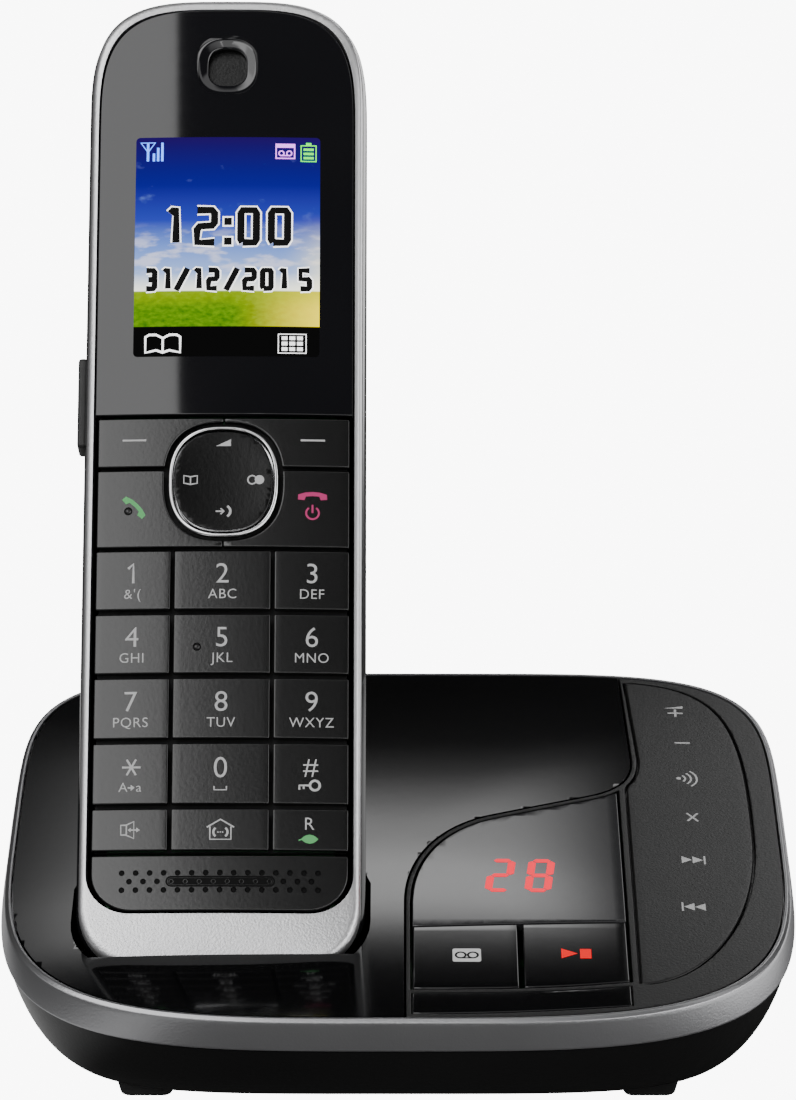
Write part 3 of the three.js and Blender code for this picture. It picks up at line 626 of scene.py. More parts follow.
sun = number(
    tree, "MULTIPLY", soft_step(tree, u, 0.78, 1.5), soft_window(tree, v, (0.2, 0.34), (0.36, 0.66)))
sky_color = blend_colors(tree, sun, sky_color, (1.5, 1.3, 0.4))
grass_noise = noise_at(tree, spot, 26, (1.0, 2.0, 1), 4)
grass_color = ramp(tree, grass_noise, (0.3, (0.016, 0.075, 0.0)), (0.7, (0.07, 0.16, 0.0)))
grass_light = number(tree, "MULTIPLY", soft_step(tree, u, 0.5, 1.3), 0.9)
grass_color = blend_colors(tree, grass_light, grass_color, (1.0, 0.75, 0.0))
far_grass = soft_step(tree, v, 0.2, 0.3)
grass_color = blend_colors(tree, number(tree, "MULTIPLY", far_grass, 0.5), grass_color, (0.18, 0.24, 0.0))
scene_color = blend_colors(tree, soft_step(tree, v, 0.293, 0.301), grass_color, sky_color)
scene_color = blend_colors(tree, soft_step(tree, v, 0.134, 0.137), (0.001, 0.001, 0.001), scene_color)
shader.inputs["Base Color"].default_value = (0.001, 0.001, 0.001, 1)
shader.inputs["Roughness"].default_value = 0.5
shader.inputs["Specular IOR Level"].default_value = 0.0
link(tree, scene_color, shader.inputs["Emission Color"])
shader.inputs["Emission Strength"].default_value = 3.0


def soft_corners(x, y, radius, steps=4):
    """A rectangle with rounded corners, as an outline."""
    points = []
    centres = ((x[1] - radius, y[0] + radius, 270), (x[1] - radius, y[1] - radius, 0),
               (x[0] + radius, y[1] - radius, 90), (x[0] + radius, y[0] + radius, 180))
    for cx, cy, first in centres:
        for i in range(steps + 1):
            angle = math.radians(first + 90 * i / steps)
            points.append((cx + radius * math.cos(angle), cy + radius * math.sin(angle)))
    return points


screen = plate(soft_corners(SCREEN_X, SCREEN_Y, 0.7), -0.3, 0)
dice(screen, 2)
lay_on(screen, lambda x, y: face(x) + SCREEN_LIFT)
layer = screen.data.uv_layers.active or screen.data.uv_layers.new()
for loop, corner in zip(screen.data.loops, layer.data):
    point = screen.data.vertices[loop.vertex_index].co
    corner.uv = (
        (point.x - SCREEN_X[0]) / (SCREEN_X[1] - SCREEN_X[0]),
        (point.y - SCREEN_Y[0]) / (SCREEN_Y[1] - SCREEN_Y[0]),
    )
deliver(screen, "screen", HANDSET, "handset", picture)


def join(pieces):
    pick(*pieces)
    if len(pieces) > 1:
        bpy.ops.object.join()
    return pieces[0]


LINE_THICK = 0.07


def stroke(points, width, closed=False):
    """A flat line along points, made as a curve with a round section and pressed flat."""
    line = start(bpy.ops.curve.primitive_nurbs_path_add)
    line.data.splines.clear()
    spline = line.data.splines.new("POLY")
    spline.points.add(len(points) - 1)
    for target, (x, y) in zip(spline.points, points):
        target.co = (x, y, 0, 1)
    spline.use_cyclic_u = closed
    line.data.bevel_depth = width / 2
    line.data.bevel_resolution = 1
    line.data.use_fill_caps = True
    bpy.ops.object.convert(target="MESH")
    line = bpy.context.object
    line.data.transform(Matrix.Diagonal((1, 1, LINE_THICK / width, 1)))
    return line


def arc(x, y, radius, first=0, last=360, steps=16, squeeze=1.0):
    angles = [math.radians(first + (last - first) * i / steps) for i in range(steps + 1)]
    return [(x + radius * math.cos(a), y + radius * squeeze * math.sin(a)) for a in angles]


def circle(x, y, radius, width):
    return stroke(arc(x, y, radius)[:-1], width, True)


def shape(*outline):
    return plate(outline, -LINE_THICK / 2, LINE_THICK / 2)


def bar(x0, x1, y0, y1):
    return shape((x0, y0), (x1, y0), (x1, y1), (x0, y1))


CAPITAL_SHARE = 0.682


def words(string, x, y, height, spacing=1.0):
    """Characters as one mesh, centred on a place. height is that of a capital letter."""
    text = start(bpy.ops.object.text_add)
    text.data.body = string
    text.data.size = height / CAPITAL_SHARE
    text.data.offset = -0.008 * height
    text.data.extrude = LINE_THICK / 2
    text.data.space_character = spacing
    text.data.resolution_u = 4
    bpy.ops.object.convert(target="MESH")
    text = bpy.context.object
    xs = [vertex.co.x for vertex in text.data.vertices]
    text.data.transform(Matrix.Translation((x - (min(xs) + max(xs)) / 2, y - height / 2, 0)))
    return text


def print_on(pieces, name, surface, lift, place, body, finish):
    """Joins printed shapes, lays them on a surface and hands them to a body."""
    legend = join(pieces)
    lay_on(legend, lambda x, y: surface(x, y) + lift)
    return deliver(legend, name, place, body, finish)


def shine(finish, strength, color=None):
    """Lets a finish glow in a colour, or in its own shades."""
    tree = finish.node_tree
    shader = tree.nodes["Principled BSDF"]
    shader.inputs["Emission Strength"].default_value = strength
    if color:
        shader.inputs["Emission Color"].default_value = (*color, 1)
    else:
        shades = next(node for node in tree.nodes if node.type == "VALTORGB")
        link(tree, shades.outputs["Color"], shader.inputs["Emission Color"])


# Strokes of each squared digit, in a box one wide and one high.
SQUARED = {
    "0": [[(0.12, 0), (0.88, 0), (1, 0.1), (1, 0.9), (0.88, 1), (0.12, 1), (0, 0.9), (0, 0.1), (0.12, 0)]],
    "1": [[(0, 0.9), (0.35, 1), (0.7, 1), (0.7, 0)]],
    "2": [[(0, 1), (0.85, 1), (1, 0.9), (1, 0.62), (0.85, 0.52), (0.15, 0.5), (0, 0.4), (0, 0), (1, 0)]],
    "3": [[(0, 1), (0.85, 1), (1, 0.9), (1, 0.1), (0.85, 0), (0, 0)], [(0.25, 0.5), (0.95, 0.5)]],
    "5": [[(1, 1), (0, 1), (0, 0.53), (0.85, 0.53), (1, 0.43), (1, 0.1), (0.85, 0), (0, 0)]],
    "/": [[(0, -0.1), (1, 1.1)]],
}


def digits(row, y, width):
    """Squared digits. Each entry of the row is a character with its left and right side."""
    lines = []
    for character, x0, x1 in row:
        if character == ":":
            middle = (x0 + x1) / 2
            half = width / 2
            lines += [bar(middle - half, middle + half, h - half, h + half) for h in (y[0] + 0.2, y[0] + 3.7)]
            continue
        for path in SQUARED[character]:
            lines.append(stroke([(x0 + px * (x1 - x0), y[0] + py * (y[1] - y[0])) for px, py in path], width))
    return lines


CLOCK = (("1", -9.3, -7.9), ("2", -4.8, -1.9), (":", 0, 0.7), ("0", 2.5, 5.1), ("0", 7.6, 10.3))
CLOCK_Y = (122.2, 127.9)
DATE = (("3", -13.2, -11.8), ("1", -10.2, -9.3), ("/", -8.2, -6.3), ("1", -5.0, -4.1), ("2", -2.8, -1.4),
        ("/", 0.1, 2.0), ("2", 3.2, 4.8), ("0", 6.2, 7.6), ("1", 9.2, 10.1), ("5", 12.5, 14.0))
DATE_Y = (114.1, 117.3)
screen_white = moulded("screen_white", (0.8, 0.8, 0.8), (0.9, 0.9, 0.9), 0.5)
# Black without gloss: real print on the screen and the answer key, and also painted shade at the tactile dots'
# feet and in the mic grille's dimples, slot and holes.
black_ink_and_painted_shade = moulded("black_ink_and_painted_shade", (0.001, 0.001, 0.001), (0.002, 0.002, 0.002), 0.5, specular=0.1)
screen_green = moulded("screen_green", (0.05, 0.75, 0.01), (0.06, 0.85, 0.02), 0.5)
screen_violet = moulded("screen_violet", (0.55, 0.15, 0.8), (0.65, 0.2, 0.9), 0.5)
screen_sky = moulded("screen_pale_blue", (0.05, 0.2, 0.9), (0.08, 0.25, 1.0), 0.5)
for finish, strength in ((screen_white, 1.6), (screen_green, 1.3), (screen_violet, 2.0), (screen_sky, 2.6)):
    shine(finish, strength)


def screen_mark(pieces, name, finish, lift=0.07):
    print_on(pieces, f"screen_{name}", face, lift, HANDSET, "handset", finish)


bright = digits(CLOCK, CLOCK_Y, 1.85) + digits(DATE, DATE_Y, 1.5)
bright += [
    stroke([
        (-13.2, 102.9), (-13.2, 105.6), (-12.6, 106.0), (-11.4, 106.0), (-10.3, 105.4), (-9.2, 106.0),
        (-8.0, 106.0), (-7.4, 105.6), (-7.4, 102.9), (-9.2, 103.3), (-10.3, 102.9), (-11.4, 103.3)], 0.4, True),
    stroke([(-10.3, 105.4), (-10.3, 102.9)], 0.35),
    stroke([(8.9, 102.8), (13.5, 102.8), (13.5, 106.1), (8.9, 106.1)], 0.22, True),
]
bright += [bar(x, x + 0.95, y, y + 0.62) for x in (9.45, 10.72, 12.0) for y in (103.2, 104.15, 105.1)]
screen_mark(bright, "white_marks", screen_white)
ink = digits(CLOCK, CLOCK_Y, 1.3) + digits(DATE, DATE_Y, 1.0)
screen_mark(ink, "dark_marks", black_ink_and_painted_shade, 0.12)
signal = [bar(x, x + 0.4, 136.7, top) for x, top in ((-12.4, 138.1), (-11.7, 139.1), (-11.0, 140.0))]
signal += [stroke([(-13.2, 136.7), (-13.2, 139.9)], 0.4)]
signal += [stroke([(-14.4, 140), (-12, 140), (-13.2, 138.3)], 0.3, True)]
screen_mark(signal, "signal_mark", screen_sky)
tape = [stroke([(8.3, 137.2), (11.4, 137.2), (11.4, 139.7), (8.3, 139.7)], 0.3, True)]
tape += [bar(8.3, 11.4, 139.1, 139.7)] + [circle(x, 138.1, 0.42, 0.22) for x in (9.2, 10.5)]
tape += [stroke([(9.2, 137.7), (10.5, 137.7)], 0.2)]
screen_mark(tape, "tape_mark", screen_violet)
battery = [stroke([(12.5, 136.7), (15.0, 136.7), (15.0, 139.5), (12.5, 139.5)], 0.26, True)]
battery += [bar(13.3, 14.2, 139.5, 140)]
battery += [bar(12.9, 14.6, y, y + 0.4) for y in (137.1, 137.85, 138.6)]
screen_mark(battery, "battery_mark", screen_green)

# ---- The nineteen keys ----
# Satin dark grey caps over one rubber mat. They stand close together behind the frame's opening, and
# follow its crown. Their edges are slightly rounded. The four beside the navigator are cut round its well.

COLUMNS_X = ((-20.75, -8.5), (-7.9, 7.9), (8.5, 20.75))
DIGIT_ROWS_Y = ((58.7, 68.7), (47.9, 57.9), (37.0, 47.1), (26.1, 36.2))
FUNCTION_ROW_Y = (18.4, 25.3)
CALL_ROW_Y = (69.3, 82.5)
SOFT_ROW_Y = (83.1, 91.5)
NAVIGATOR_Y = 80.6
NAVIGATOR_POWER = 2.5
WELL_HALF = (9.8, 10.2)

key_satin = moulded(
    "key_satin_grey", (0.0018, 0.0018, 0.0018), (0.0028, 0.0028, 0.0028), 0.22, 1800, 0.06, 40, 0.04,
    specular=0.85)


def round_navigator(half, by=0, count=72):
    return superellipse(
        half[0] + by, half[1] + by, NAVIGATOR_POWER, NAVIGATOR_POWER, count, 0, NAVIGATOR_Y)


def key_cap(name, x, y, node, well=False):
    cap = plate([(x[0], y[0]), (x[1], y[0]), (x[1], y[1]), (x[0], y[1])], -1.6, 0)
    if well:
        cut(cap, plate(round_navigator(WELL_HALF), -5, 5))
    soften(cap, 0.28, 3, 40)
    dice(cap, 1.5)
    lay_on(cap, face)
    deliver(cap, name, HANDSET, node, key_satin, [node], 40)


for names, row in zip((("1", "2", "3"), ("4", "5", "6"), ("7", "8", "9"), ("star", "0", "hash")), DIGIT_ROWS_Y):
    for name, column in zip(names, COLUMNS_X):
        key_cap(f"cap_{name}", column, row, f"key_{name}")
for name, column in zip(("speaker", "intercom", "recall"), COLUMNS_X):
    key_cap(f"cap_{name}", column, FUNCTION_ROW_Y, f"key_{name}")
key_cap("cap_softkey_left", (COLUMNS_X[0][0], -0.06), SOFT_ROW_Y, "softkey_left", True)
key_cap("cap_softkey_right", (0.06, COLUMNS_X[2][1]), SOFT_ROW_Y, "softkey_right", True)
key_cap("cap_call", (COLUMNS_X[0][0], -0.06), CALL_ROW_Y, "call_key", True)
key_cap("cap_end", (0.06, COLUMNS_X[2][1]), CALL_ROW_Y, "end_key", True)

# ---- What is printed on the keys ----
# Pale grey ink, with green and pink ink for the two call keys. Each print is a thin film on its key's top
# and moves with it. The 5 and the call key also carry a small raised dot for the finger.

ink_grey = moulded("legend_pale_grey", (0.35, 0.35, 0.35), (0.4, 0.4, 0.4), 0.6, 700, 0.05, 80, 0.1, 0, 0.2)
ink_green = moulded("legend_green", (0.08, 0.32, 0.11), (0.09, 0.35, 0.12), 0.6, 700, 0.05, 80, 0.1, 0, 0.2)
ink_pink = moulded("legend_pink", (0.38, 0.03, 0.125), (0.41, 0.034, 0.135), 0.6, 700, 0.05, 80, 0.1, 0, 0.2)
dot_black = moulded("tactile_dot", (0.008, 0.008, 0.008), (0.014, 0.014, 0.014), 0.2)


def print_key(pieces, node, finish=ink_grey, suffix="legend"):
    print_on(pieces, f"{node}_{suffix}", face, 0, HANDSET, node, finish)


LETTERS = {"1": "&'(", "2": "ABC", "3": "DEF", "4": "GHI", "5": "JKL", "6": "MNO", "7": "PQRS", "8": "TUV",
           "9": "WXYZ"}
for i, (digit, letters) in enumerate(LETTERS.items()):
    x = (-14.7, 0, 14.7)[i % 3]
    y = sum(DIGIT_ROWS_Y[i // 3]) / 2
    figure = words(digit, x, y + 1.15, 3.3)
    if digit == "1":
        bpy.data.objects.remove(figure)
        figure = stroke([(x - 0.75, y + 1.95), (x + 0.1, y + 2.75), (x + 0.1, y - 0.5)], 0.44)
    print_key([figure, words(letters, x, y - 2.35, 1.6, 1.08)], f"key_{digit}")
star = [stroke([(-14.45 + 1.5 * math.cos(a), 32.2 + 1.5 * math.sin(a)),
                (-14.45 - 1.5 * math.cos(a), 32.2 - 1.5 * math.sin(a))], 0.33)
        for a in (0, math.pi / 3, -math.pi / 3)]
star += [words("A", -15.75, 28.9, 1.5), words("a", -13.2, 28.9, 1.5)]
star += [stroke([(-15, 28.8), (-14.2, 28.8)], 0.25), shape((-14.5, 28.3), (-13.85, 28.8), (-14.5, 29.3))]
print_key(star, "key_star")
print_key([words("0", 0, 32.15, 3.4), stroke([(-1, 29.0), (-1, 28.4), (1, 28.4), (1, 29.0)], 0.25)], "key_0")
lock_key = [circle(15.3, 29.2, 0.8, 0.4), stroke([(14.5, 29.2), (12.8, 29.2), (12.8, 28.5)], 0.33)]
lock_key += [stroke([(13.5, 29.2), (13.5, 28.6)], 0.3), words("#", 14.6, 32.4, 2.9)]
print_key(lock_key, "key_hash")
horn = [(-16, 21.0), (-15.2, 21.0), (-13.9, 20.4), (-13.9, 23.2), (-15.2, 22.6), (-16, 22.6)]
speaker = [stroke(horn, 0.26, True)]
speaker += [stroke([(-15.1, 21.1), (-15.1, 22.5)], 0.22), stroke([(-14.7, 21.8), (-13.2, 21.8)], 0.24)]
speaker += [shape((-13.5, 21.4), (-12.9, 21.8), (-13.5, 22.2))]
speaker += [shape((-14.9, 21.8), (-14.4, 21.45), (-14.4, 22.15))]
print_key(speaker, "key_speaker")
house = [stroke([(-2.1, 22.2), (0.1, 23.5), (2.3, 22.2)], 0.25)]
house += [stroke([(-1.6, 22.3), (-1.6, 20.2), (1.8, 20.2), (1.8, 22.3)], 0.24)]
house += [stroke(arc(-0.2, 21.4, 0.85, 125, 235, 6), 0.34), stroke(arc(0.4, 21.4, 0.85, 55, -55, 6), 0.34)]
house += [bar(x, x + 0.22, 21.3, 21.5) for x in (-0.4, -0.02, 0.36)]
print_key(house, "key_intercom")
print_key([words("R", 14.5, 22.85, 2.0)], "key_recall")
leaf = shape(*[(13.1 + 2.8 * t, 20.3 + side * 0.75 * math.sin(math.pi * t) ** 0.8)
               for side, ts in ((-1, (0, 0.15, 0.3, 0.5, 0.7, 0.85)), (1, (1, 0.85, 0.7, 0.5, 0.3, 0.15)))
               for t in ts])
print_key([leaf, stroke([(12.7, 20.1), (13.3, 20.3)], 0.22)], "key_recall", ink_green, "leaf")
print_key([stroke([(-16.7, 87.7), (-12.8, 87.7)], 0.32)], "softkey_left")
print_key([stroke([(12.7, 87.7), (16.7, 87.7)], 0.32)], "softkey_right")
HOOK = ((-2.4, -0.1), (-2.35, 0.75), (-1.2, 1.1), (0, 1.2), (1.2, 1.1), (2.35, 0.75), (2.4, -0.1), (1.35, -0.2),
        (1.1, 0.42), (0, 0.5), (-1.1, 0.42), (-1.35, -0.2))
tilt = math.radians(-45)
call_hook = [(-14.9 + 0.98 * (x * math.cos(tilt) - y * math.sin(tilt)),
              75.9 + 0.98 * (x * math.sin(tilt) + y * math.cos(tilt))) for x, y in HOOK]
print_key([shape(*call_hook)], "call_key", ink_green)
print_key([shape(*[(14.7 + x, 77.6 + y) for x, y in HOOK]), stroke(arc(14.7, 75.2, 1.05, 125, 415, 16), 0.32),
           stroke([(14.7, 75.2), (14.7, 76.6)], 0.32)], "end_key", ink_pink)
for name, x, y, node in (("dot_on_5", -4.05, 52.35, "key_5"), ("dot_on_call", -15.6, 75.5, "call_key")):
    dot = start(bpy.ops.mesh.primitive_uv_sphere_add, segments=20, ring_count=12, radius=0.55)
    dot.data.transform(Matrix.Translation((x, y, face(x) - 0.1)) @ Matrix.Diagonal((1, 1, 0.7, 1)))
    deliver(dot, name, HANDSET, node, dot_black)
    # A black ring round the dot's foot: painted shade in the crease between dot and key.
    print_key([circle(x, y, 0.6, 0.2)], node, black_ink_and_painted_shade, "dot_foot_shade")

# ---- The navigator ----
# A rounded square rocker of dark grey plastic in a chrome plated ring. The ring stands proud of the keys,
# and the rocker's top is dished. Four symbols are printed at its edges.

RING_HALF = (9.1, 9.65)
PAD_HALF = (8.0, 8.45)
chrome = moulded("chrome_plate", (0.9, 0.9, 0.91), (0.95, 0.95, 0.96), 0.12, 500, 0.01, 30, 0.04)
chrome.node_tree.nodes["Principled BSDF"].inputs["Metallic"].default_value = 1.0
ring = loft([flat(round_navigator(RING_HALF, by), z) for z, by in (
    (-1.6, -0.1), (0.35, 0), (0.65, -0.06), (0.85, -0.2), (0.94, -0.4), (0.95, -0.55))])
cut(ring, loft([flat(round_navigator(PAD_HALF, by), z) for z, by in (
    (-1.0, 0.3), (0.4, 0.3), (0.7, 0.36), (0.88, 0.5), (0.96, 0.62), (1.5, 0.9))]))
deliver(ring, "navigator_chrome_ring", HANDSET, "navigator_ring", chrome, ["navigator_ring"], 40)


def pad_top(x, y):
    reach = (x / PAD_HALF[0]) ** 2 + ((y - NAVIGATOR_Y) / PAD_HALF[1]) ** 2
    return 1.0 - 0.18 * max(1 - reach, 0)


pad_satin = moulded(
    "navigator_satin", (0.0018, 0.0018, 0.0018), (0.0028, 0.0028, 0.0028), 0.22, 1800, 0.06, specular=0.35)
pad = plate(round_navigator(PAD_HALF), -0.35, 0)
soften(pad, 0.35, 3, 60)
dice(pad, 1.1, 1.1)
for vertex in pad.data.vertices:
    if vertex.co.z > -0.3:
        vertex.co.z += pad_top(vertex.co.x, vertex.co.y)
deliver(pad, "navigator_rocker", HANDSET, "navigator_pad", pad_satin, ["navigator_pad"], 50)
marks = [shape((-1.25, 86.6), (1.2, 86.6), (1.2, 87.75))]
book = [(-6.5, 80.2), (-6.5, 81.5), (-5.4, 81.3), (-4.3, 81.5), (-4.3, 80.2), (-5.4, 80.0)]
marks += [stroke(book, 0.25, True)]
marks += [stroke([(-5.4, 80.0), (-5.4, 81.3)], 0.22), circle(4.75, 80.8, 0.72, 0.24)]
marks += [shape(*arc(5.95, 80.8, 0.78)[:-1])]
marks += [stroke([(-1.2, 75.4), (0.1, 75.4)], 0.26), stroke([(-0.4, 75.9), (0.15, 75.4), (-0.4, 74.9)], 0.24)]
marks += [stroke(arc(0.2, 75.4, 1.0, 60, -60, 8), 0.4)]
print_on(marks, "navigator_marks", pad_top, 0.02, HANDSET, "navigator_pad", ink_grey)

# ---- The microphone grille ----
# The bottom panel of the keypad, in the same satin grey. Three rows of small dimples cross it, with a long slot
# along the middle row, and two of its dimples go through to the microphone. The dark in them is painted shade:
# black discs on the dimple floors, a black floor and rim line in the slot, and black plugs for the two holes.

GRILLE_Y = (8.5, 17.6)
DIMPLE_PITCH = 2.26
DIMPLE_RADIUS = 0.5
SLOT_MIDDLE_Y = 13.3
full = end_outline(20.7, GRILLE_Y[0], 150, (6.6, 6), 19, 12)
lower = [p for p in full if p[1] < GRILLE_Y[1] - 1]
half_way = len(lower) // 2
grille = plate(lower[half_way:] + lower[:half_way] + [(20.7, GRILLE_Y[1]), (-20.7, GRILLE_Y[1])], -1.6, 0)
soften(grille, 0.28, 3, 60)
dice(grille, 1.5)
lay_on(grille, face)
bead = start(bpy.ops.mesh.primitive_uv_sphere_add, segments=12, ring_count=8, radius=DIMPLE_RADIUS)
dimples, dimple_places = [], []
for y, count, x0 in ((14.7, 15, -15.75), (SLOT_MIDDLE_Y, 14, -14.55), (11.9, 15, -15.75)):
    for i in range(count):
        x = x0 + i * DIMPLE_PITCH
        dimple = copy_of(bead)
        dimple.data.transform(Matrix.Translation((x, y, face(x) + 0.12)))
        dimples.append(dimple)
        dimple_places.append((x, y))
bpy.data.objects.remove(bead)
cut(grille, plate(soft_corners((-8.3, 8.6), (12.75, 13.85), 0.5), 0.68, 3), join(dimples))
deliver(grille, "mic_panel", HANDSET, "handset", key_satin, ["mic_grille"], 40)
# Black plugs at the two through holes: painted shade standing in for the dark of the holes.
for i, x in enumerate((-1.0, 1.26)):
    hole = start(bpy.ops.mesh.primitive_cylinder_add, vertices=20, radius=0.5, depth=0.5)
    hole.data.transform(Matrix.Translation((x, SLOT_MIDDLE_Y, 0.1)))
    deliver(hole, f"mic_hole_shade_{i}", HANDSET, "handset", black_ink_and_painted_shade)
# Dark discs on the dimple floors: painted shade in the dimples.
dimple_shade_discs = [shape(*arc(x, y, 0.35, steps=10)[:-1]) for x, y in dimple_places]
print_on(dimple_shade_discs, "mic_dimple_painted_shade", face, -0.21, HANDSET, "handset", black_ink_and_painted_shade)
SLOT_X = [-7.8 + 1.59 * i for i in range(11)]
SLOT_HALF = 0.75
rim_path = [(x, SLOT_MIDDLE_Y - SLOT_HALF) for x in SLOT_X] + arc(8.1, SLOT_MIDDLE_Y, SLOT_HALF, -60, 60, 4)
rim_path += [(x, SLOT_MIDDLE_Y + SLOT_HALF) for x in reversed(SLOT_X)]
rim_path += arc(-7.8, SLOT_MIDDLE_Y, SLOT_HALF, 120, 240, 4)
# The slot's black floor and the black line round its rim are painted shade in the slot.
slot_shade_sheet = plate(rim_path, -0.03, 0.03)
dice(slot_shade_sheet, 1.5)
print_on([stroke(rim_path, 0.3, True)], "mic_slot_rim_shade", face, 0.0, HANDSET, "handset", black_ink_and_painted_shade)
print_on([slot_shade_sheet], "mic_slot_painted_shade", face, -0.08, HANDSET, "handset", black_ink_and_painted_shade)
rings = [circle(x, y, 0.34, 0.14) for x, y in dimple_places if y == SLOT_MIDDLE_Y and -8.2 < x < 8.4]
print_on(rings, "mic_slot_rings", face, -0.04, HANDSET, "handset", key_satin)

# ---- The headset cover ----
# A black rubber flap on the handset's left side, held at its lower end. It closes the headset socket.
# Its outer face is gently domed and ends in a thumb nick at the top.

FLAP_X = (-24.7, -23.0)
rubber_black = moulded("black_rubber", (0.012, 0.012, 0.012), (0.02, 0.02, 0.02), 0.55, 1500, 0.2, 60, 0.1)
flap = block(FLAP_X, FLAP_Y, FLAP_Z)
soften(flap, 0.6, 4, 60)
cut(flap, block((-25.2, -24.35), (FLAP_Y[1] - 1.6, FLAP_Y[1] - 0.9), (-10.5, -7.5)))
deliver(flap, "headset_flap", HANDSET, "headset_cover", rubber_black, ["headset_cover"], 40)

# ---- The top cover of the base ----
# The largest part of the lid: high gloss black ABS, gently crowned, that clips into the silver ring.
# The handset's cradle is moulded into it as a deep slanting cup, with a swelling behind it that the
# handset leans on. A rib parts it from the key deck.

OUT_OF_LID = -Vector(joint["answer_key_press"]["axis"])
LID = model_frame(BASE_CENTRE + Vector((0, 0, 26.5 * MM)), OUT_OF_LID.cross(Vector((1, 0, 0))), OUT_OF_LID)
HANDSET_TO_LID = LID.inverted() @ HANDSET
LID_HALF = (63.7, 54.3)
LID_POWER = (3.7, 5.1)
LID_CROWN = 1.2
CROWN_POWER = 2.4
LID_THICK = 2.4
RIB_HALF = 0.35
REST_MIDDLE_X = -28.75
REST_LEVELS = ((-1.2, 25.0, 37.2), (-0.2, 22.4, 34.8), (0.9, 21.4, 32.8), (2.4, 20.8, 30.6), (4, 20.3, 28.5),
               (7, 19.5, 25.0), (10, 18.8, 22.0), (13, 18.1, 19.2), (15.2, 17.2, 16.9), (16.4, 16.4, 15.5),
               (17, 15.4, 14.0))
REST_FRONT = -8.5
PINS_X = (-12, 12)
PIN_WELL_RADIUS = 1.7


def lid_outline(by, count=144):
    return superellipse(LID_HALF[0] + by, LID_HALF[1] + by, *LID_POWER, count)


def crown(x, y):
    power = LID_POWER[1] if y > 0 else LID_POWER[0]
    share = (abs(x / (LID_HALF[0] - GAP)) ** power + abs(y / (LID_HALF[1] - GAP)) ** power) ** (1 / power)
    return LID_CROWN * (1 - min(share, 1) ** CROWN_POWER)


def raise_crown(piece, sign=1, fade=(-6, -2.4)):
    """Lifts the lid's skin by its crown. What hangs below the skin stays where it is."""
    for vertex in piece.data.vertices:
        weight = ease(vertex.co.z, *fade) if fade else 1
        vertex.co.z += sign * weight * crown(vertex.co.x, vertex.co.y)


def cubic(p0, p1, p2, p3, steps):
    points = []
    for i in range(steps + 1):
        t = i / steps
        weights = ((1 - t) ** 3, 3 * (1 - t) ** 2 * t, 3 * (1 - t) * t * t, t ** 3)
        points.append(tuple(sum(w * p[axis] for w, p in zip(weights, (p0, p1, p2, p3))) for axis in (0, 1)))
    return points


def beside(path, distance):
    """An open path moved to its right-hand side."""
    moved = []
    for i, (x, y) in enumerate(path):
        before, after = path[max(0, i - 1)], path[min(len(path) - 1, i + 1)]
        run = Vector((after[0] - before[0], after[1] - before[1])).normalized()
        moved.append((x + run.y * distance, y - run.x * distance))
    return moved


RIB = [
    (1.65, -60), *cubic((1.65, -22), (1.65, -9.1), (7, 1.2), (16, 4.65), 20),
    *cubic((32, 10.85), (39.5, 13.8), (40.3, 19), (40.3, 24), 14), (39.1, 60),
]


def right_of_rib(by, z0=-20, z1=20):
    return plate(beside(RIB, -by) + [(90, 60), (90, -60)], z0, z1)


def across_section(outline, x0, x1):
    """A prism across the handset, from [y, z] points."""
    return loft([[(x0, y, z) for y, z in outline], [(x1, y, z) for y, z in outline]])


def along_section(outline, y0, y1):
    """A prism along the handset, from [x, z] points."""
    return loft([[(x, y0, z) for x, z in outline], [(x, y1, z) for x, z in outline]])


def cradle_space(by):
    """The space that the handset's lower end slides in, grown all round by a distance."""
    half, front, back, reach = HALF_WIDTH + 0.8 + by, 0.4 + by, -HANDSET_DEPTH - 0.6 - by, 60
    right = [(half - 11, back), (half - 6.5, back + 1.2), (half - 2, -19), (half, -14), (half, front)]
    body = along_section([(-x, z) for x, z in reversed(right)] + right, -20, reach)
    side = across_section([
        (-0.8 - by, front), (-0.8 - by, -11 - by / 2), (0.8 - by, -15.5 - by / 2), (4.5 - by, -20 - by / 2),
        (9 - by, back), (reach, back), (reach, front)], -40, 40)
    corner = []
    for i in range(9):
        angle = -math.pi / 2 * (1 - i / 8)
        corner.append((half - 8 - by + (8 + by) * math.cos(angle), 8.2 + (9 + by) * math.sin(angle)))
    mirrored = [(-x, y) for x, y in reversed(corner)]
    front_view = plate(corner + [(half, reach), (-half, reach)] + mirrored, back - 5, front + 5)
    combine(body, side, "INTERSECT")
    combine(body, front_view, "INTERSECT")
    body.data.transform(HANDSET_TO_LID)
    return body


def back_rest(inset, bottom):
    rings = []
    for i, (level, half, back) in enumerate(REST_LEVELS):
        front = REST_FRONT + max(level, -0.4)
        middle = (back + front) / 2
        outline = superellipse(half - inset, (back - front) / 2 - inset, 3, 3, 56, REST_MIDDLE_X, middle)
        rings.append(flat(outline, bottom if i == 0 else level - (inset if level > 15 else 0)))
    return loft(rings)


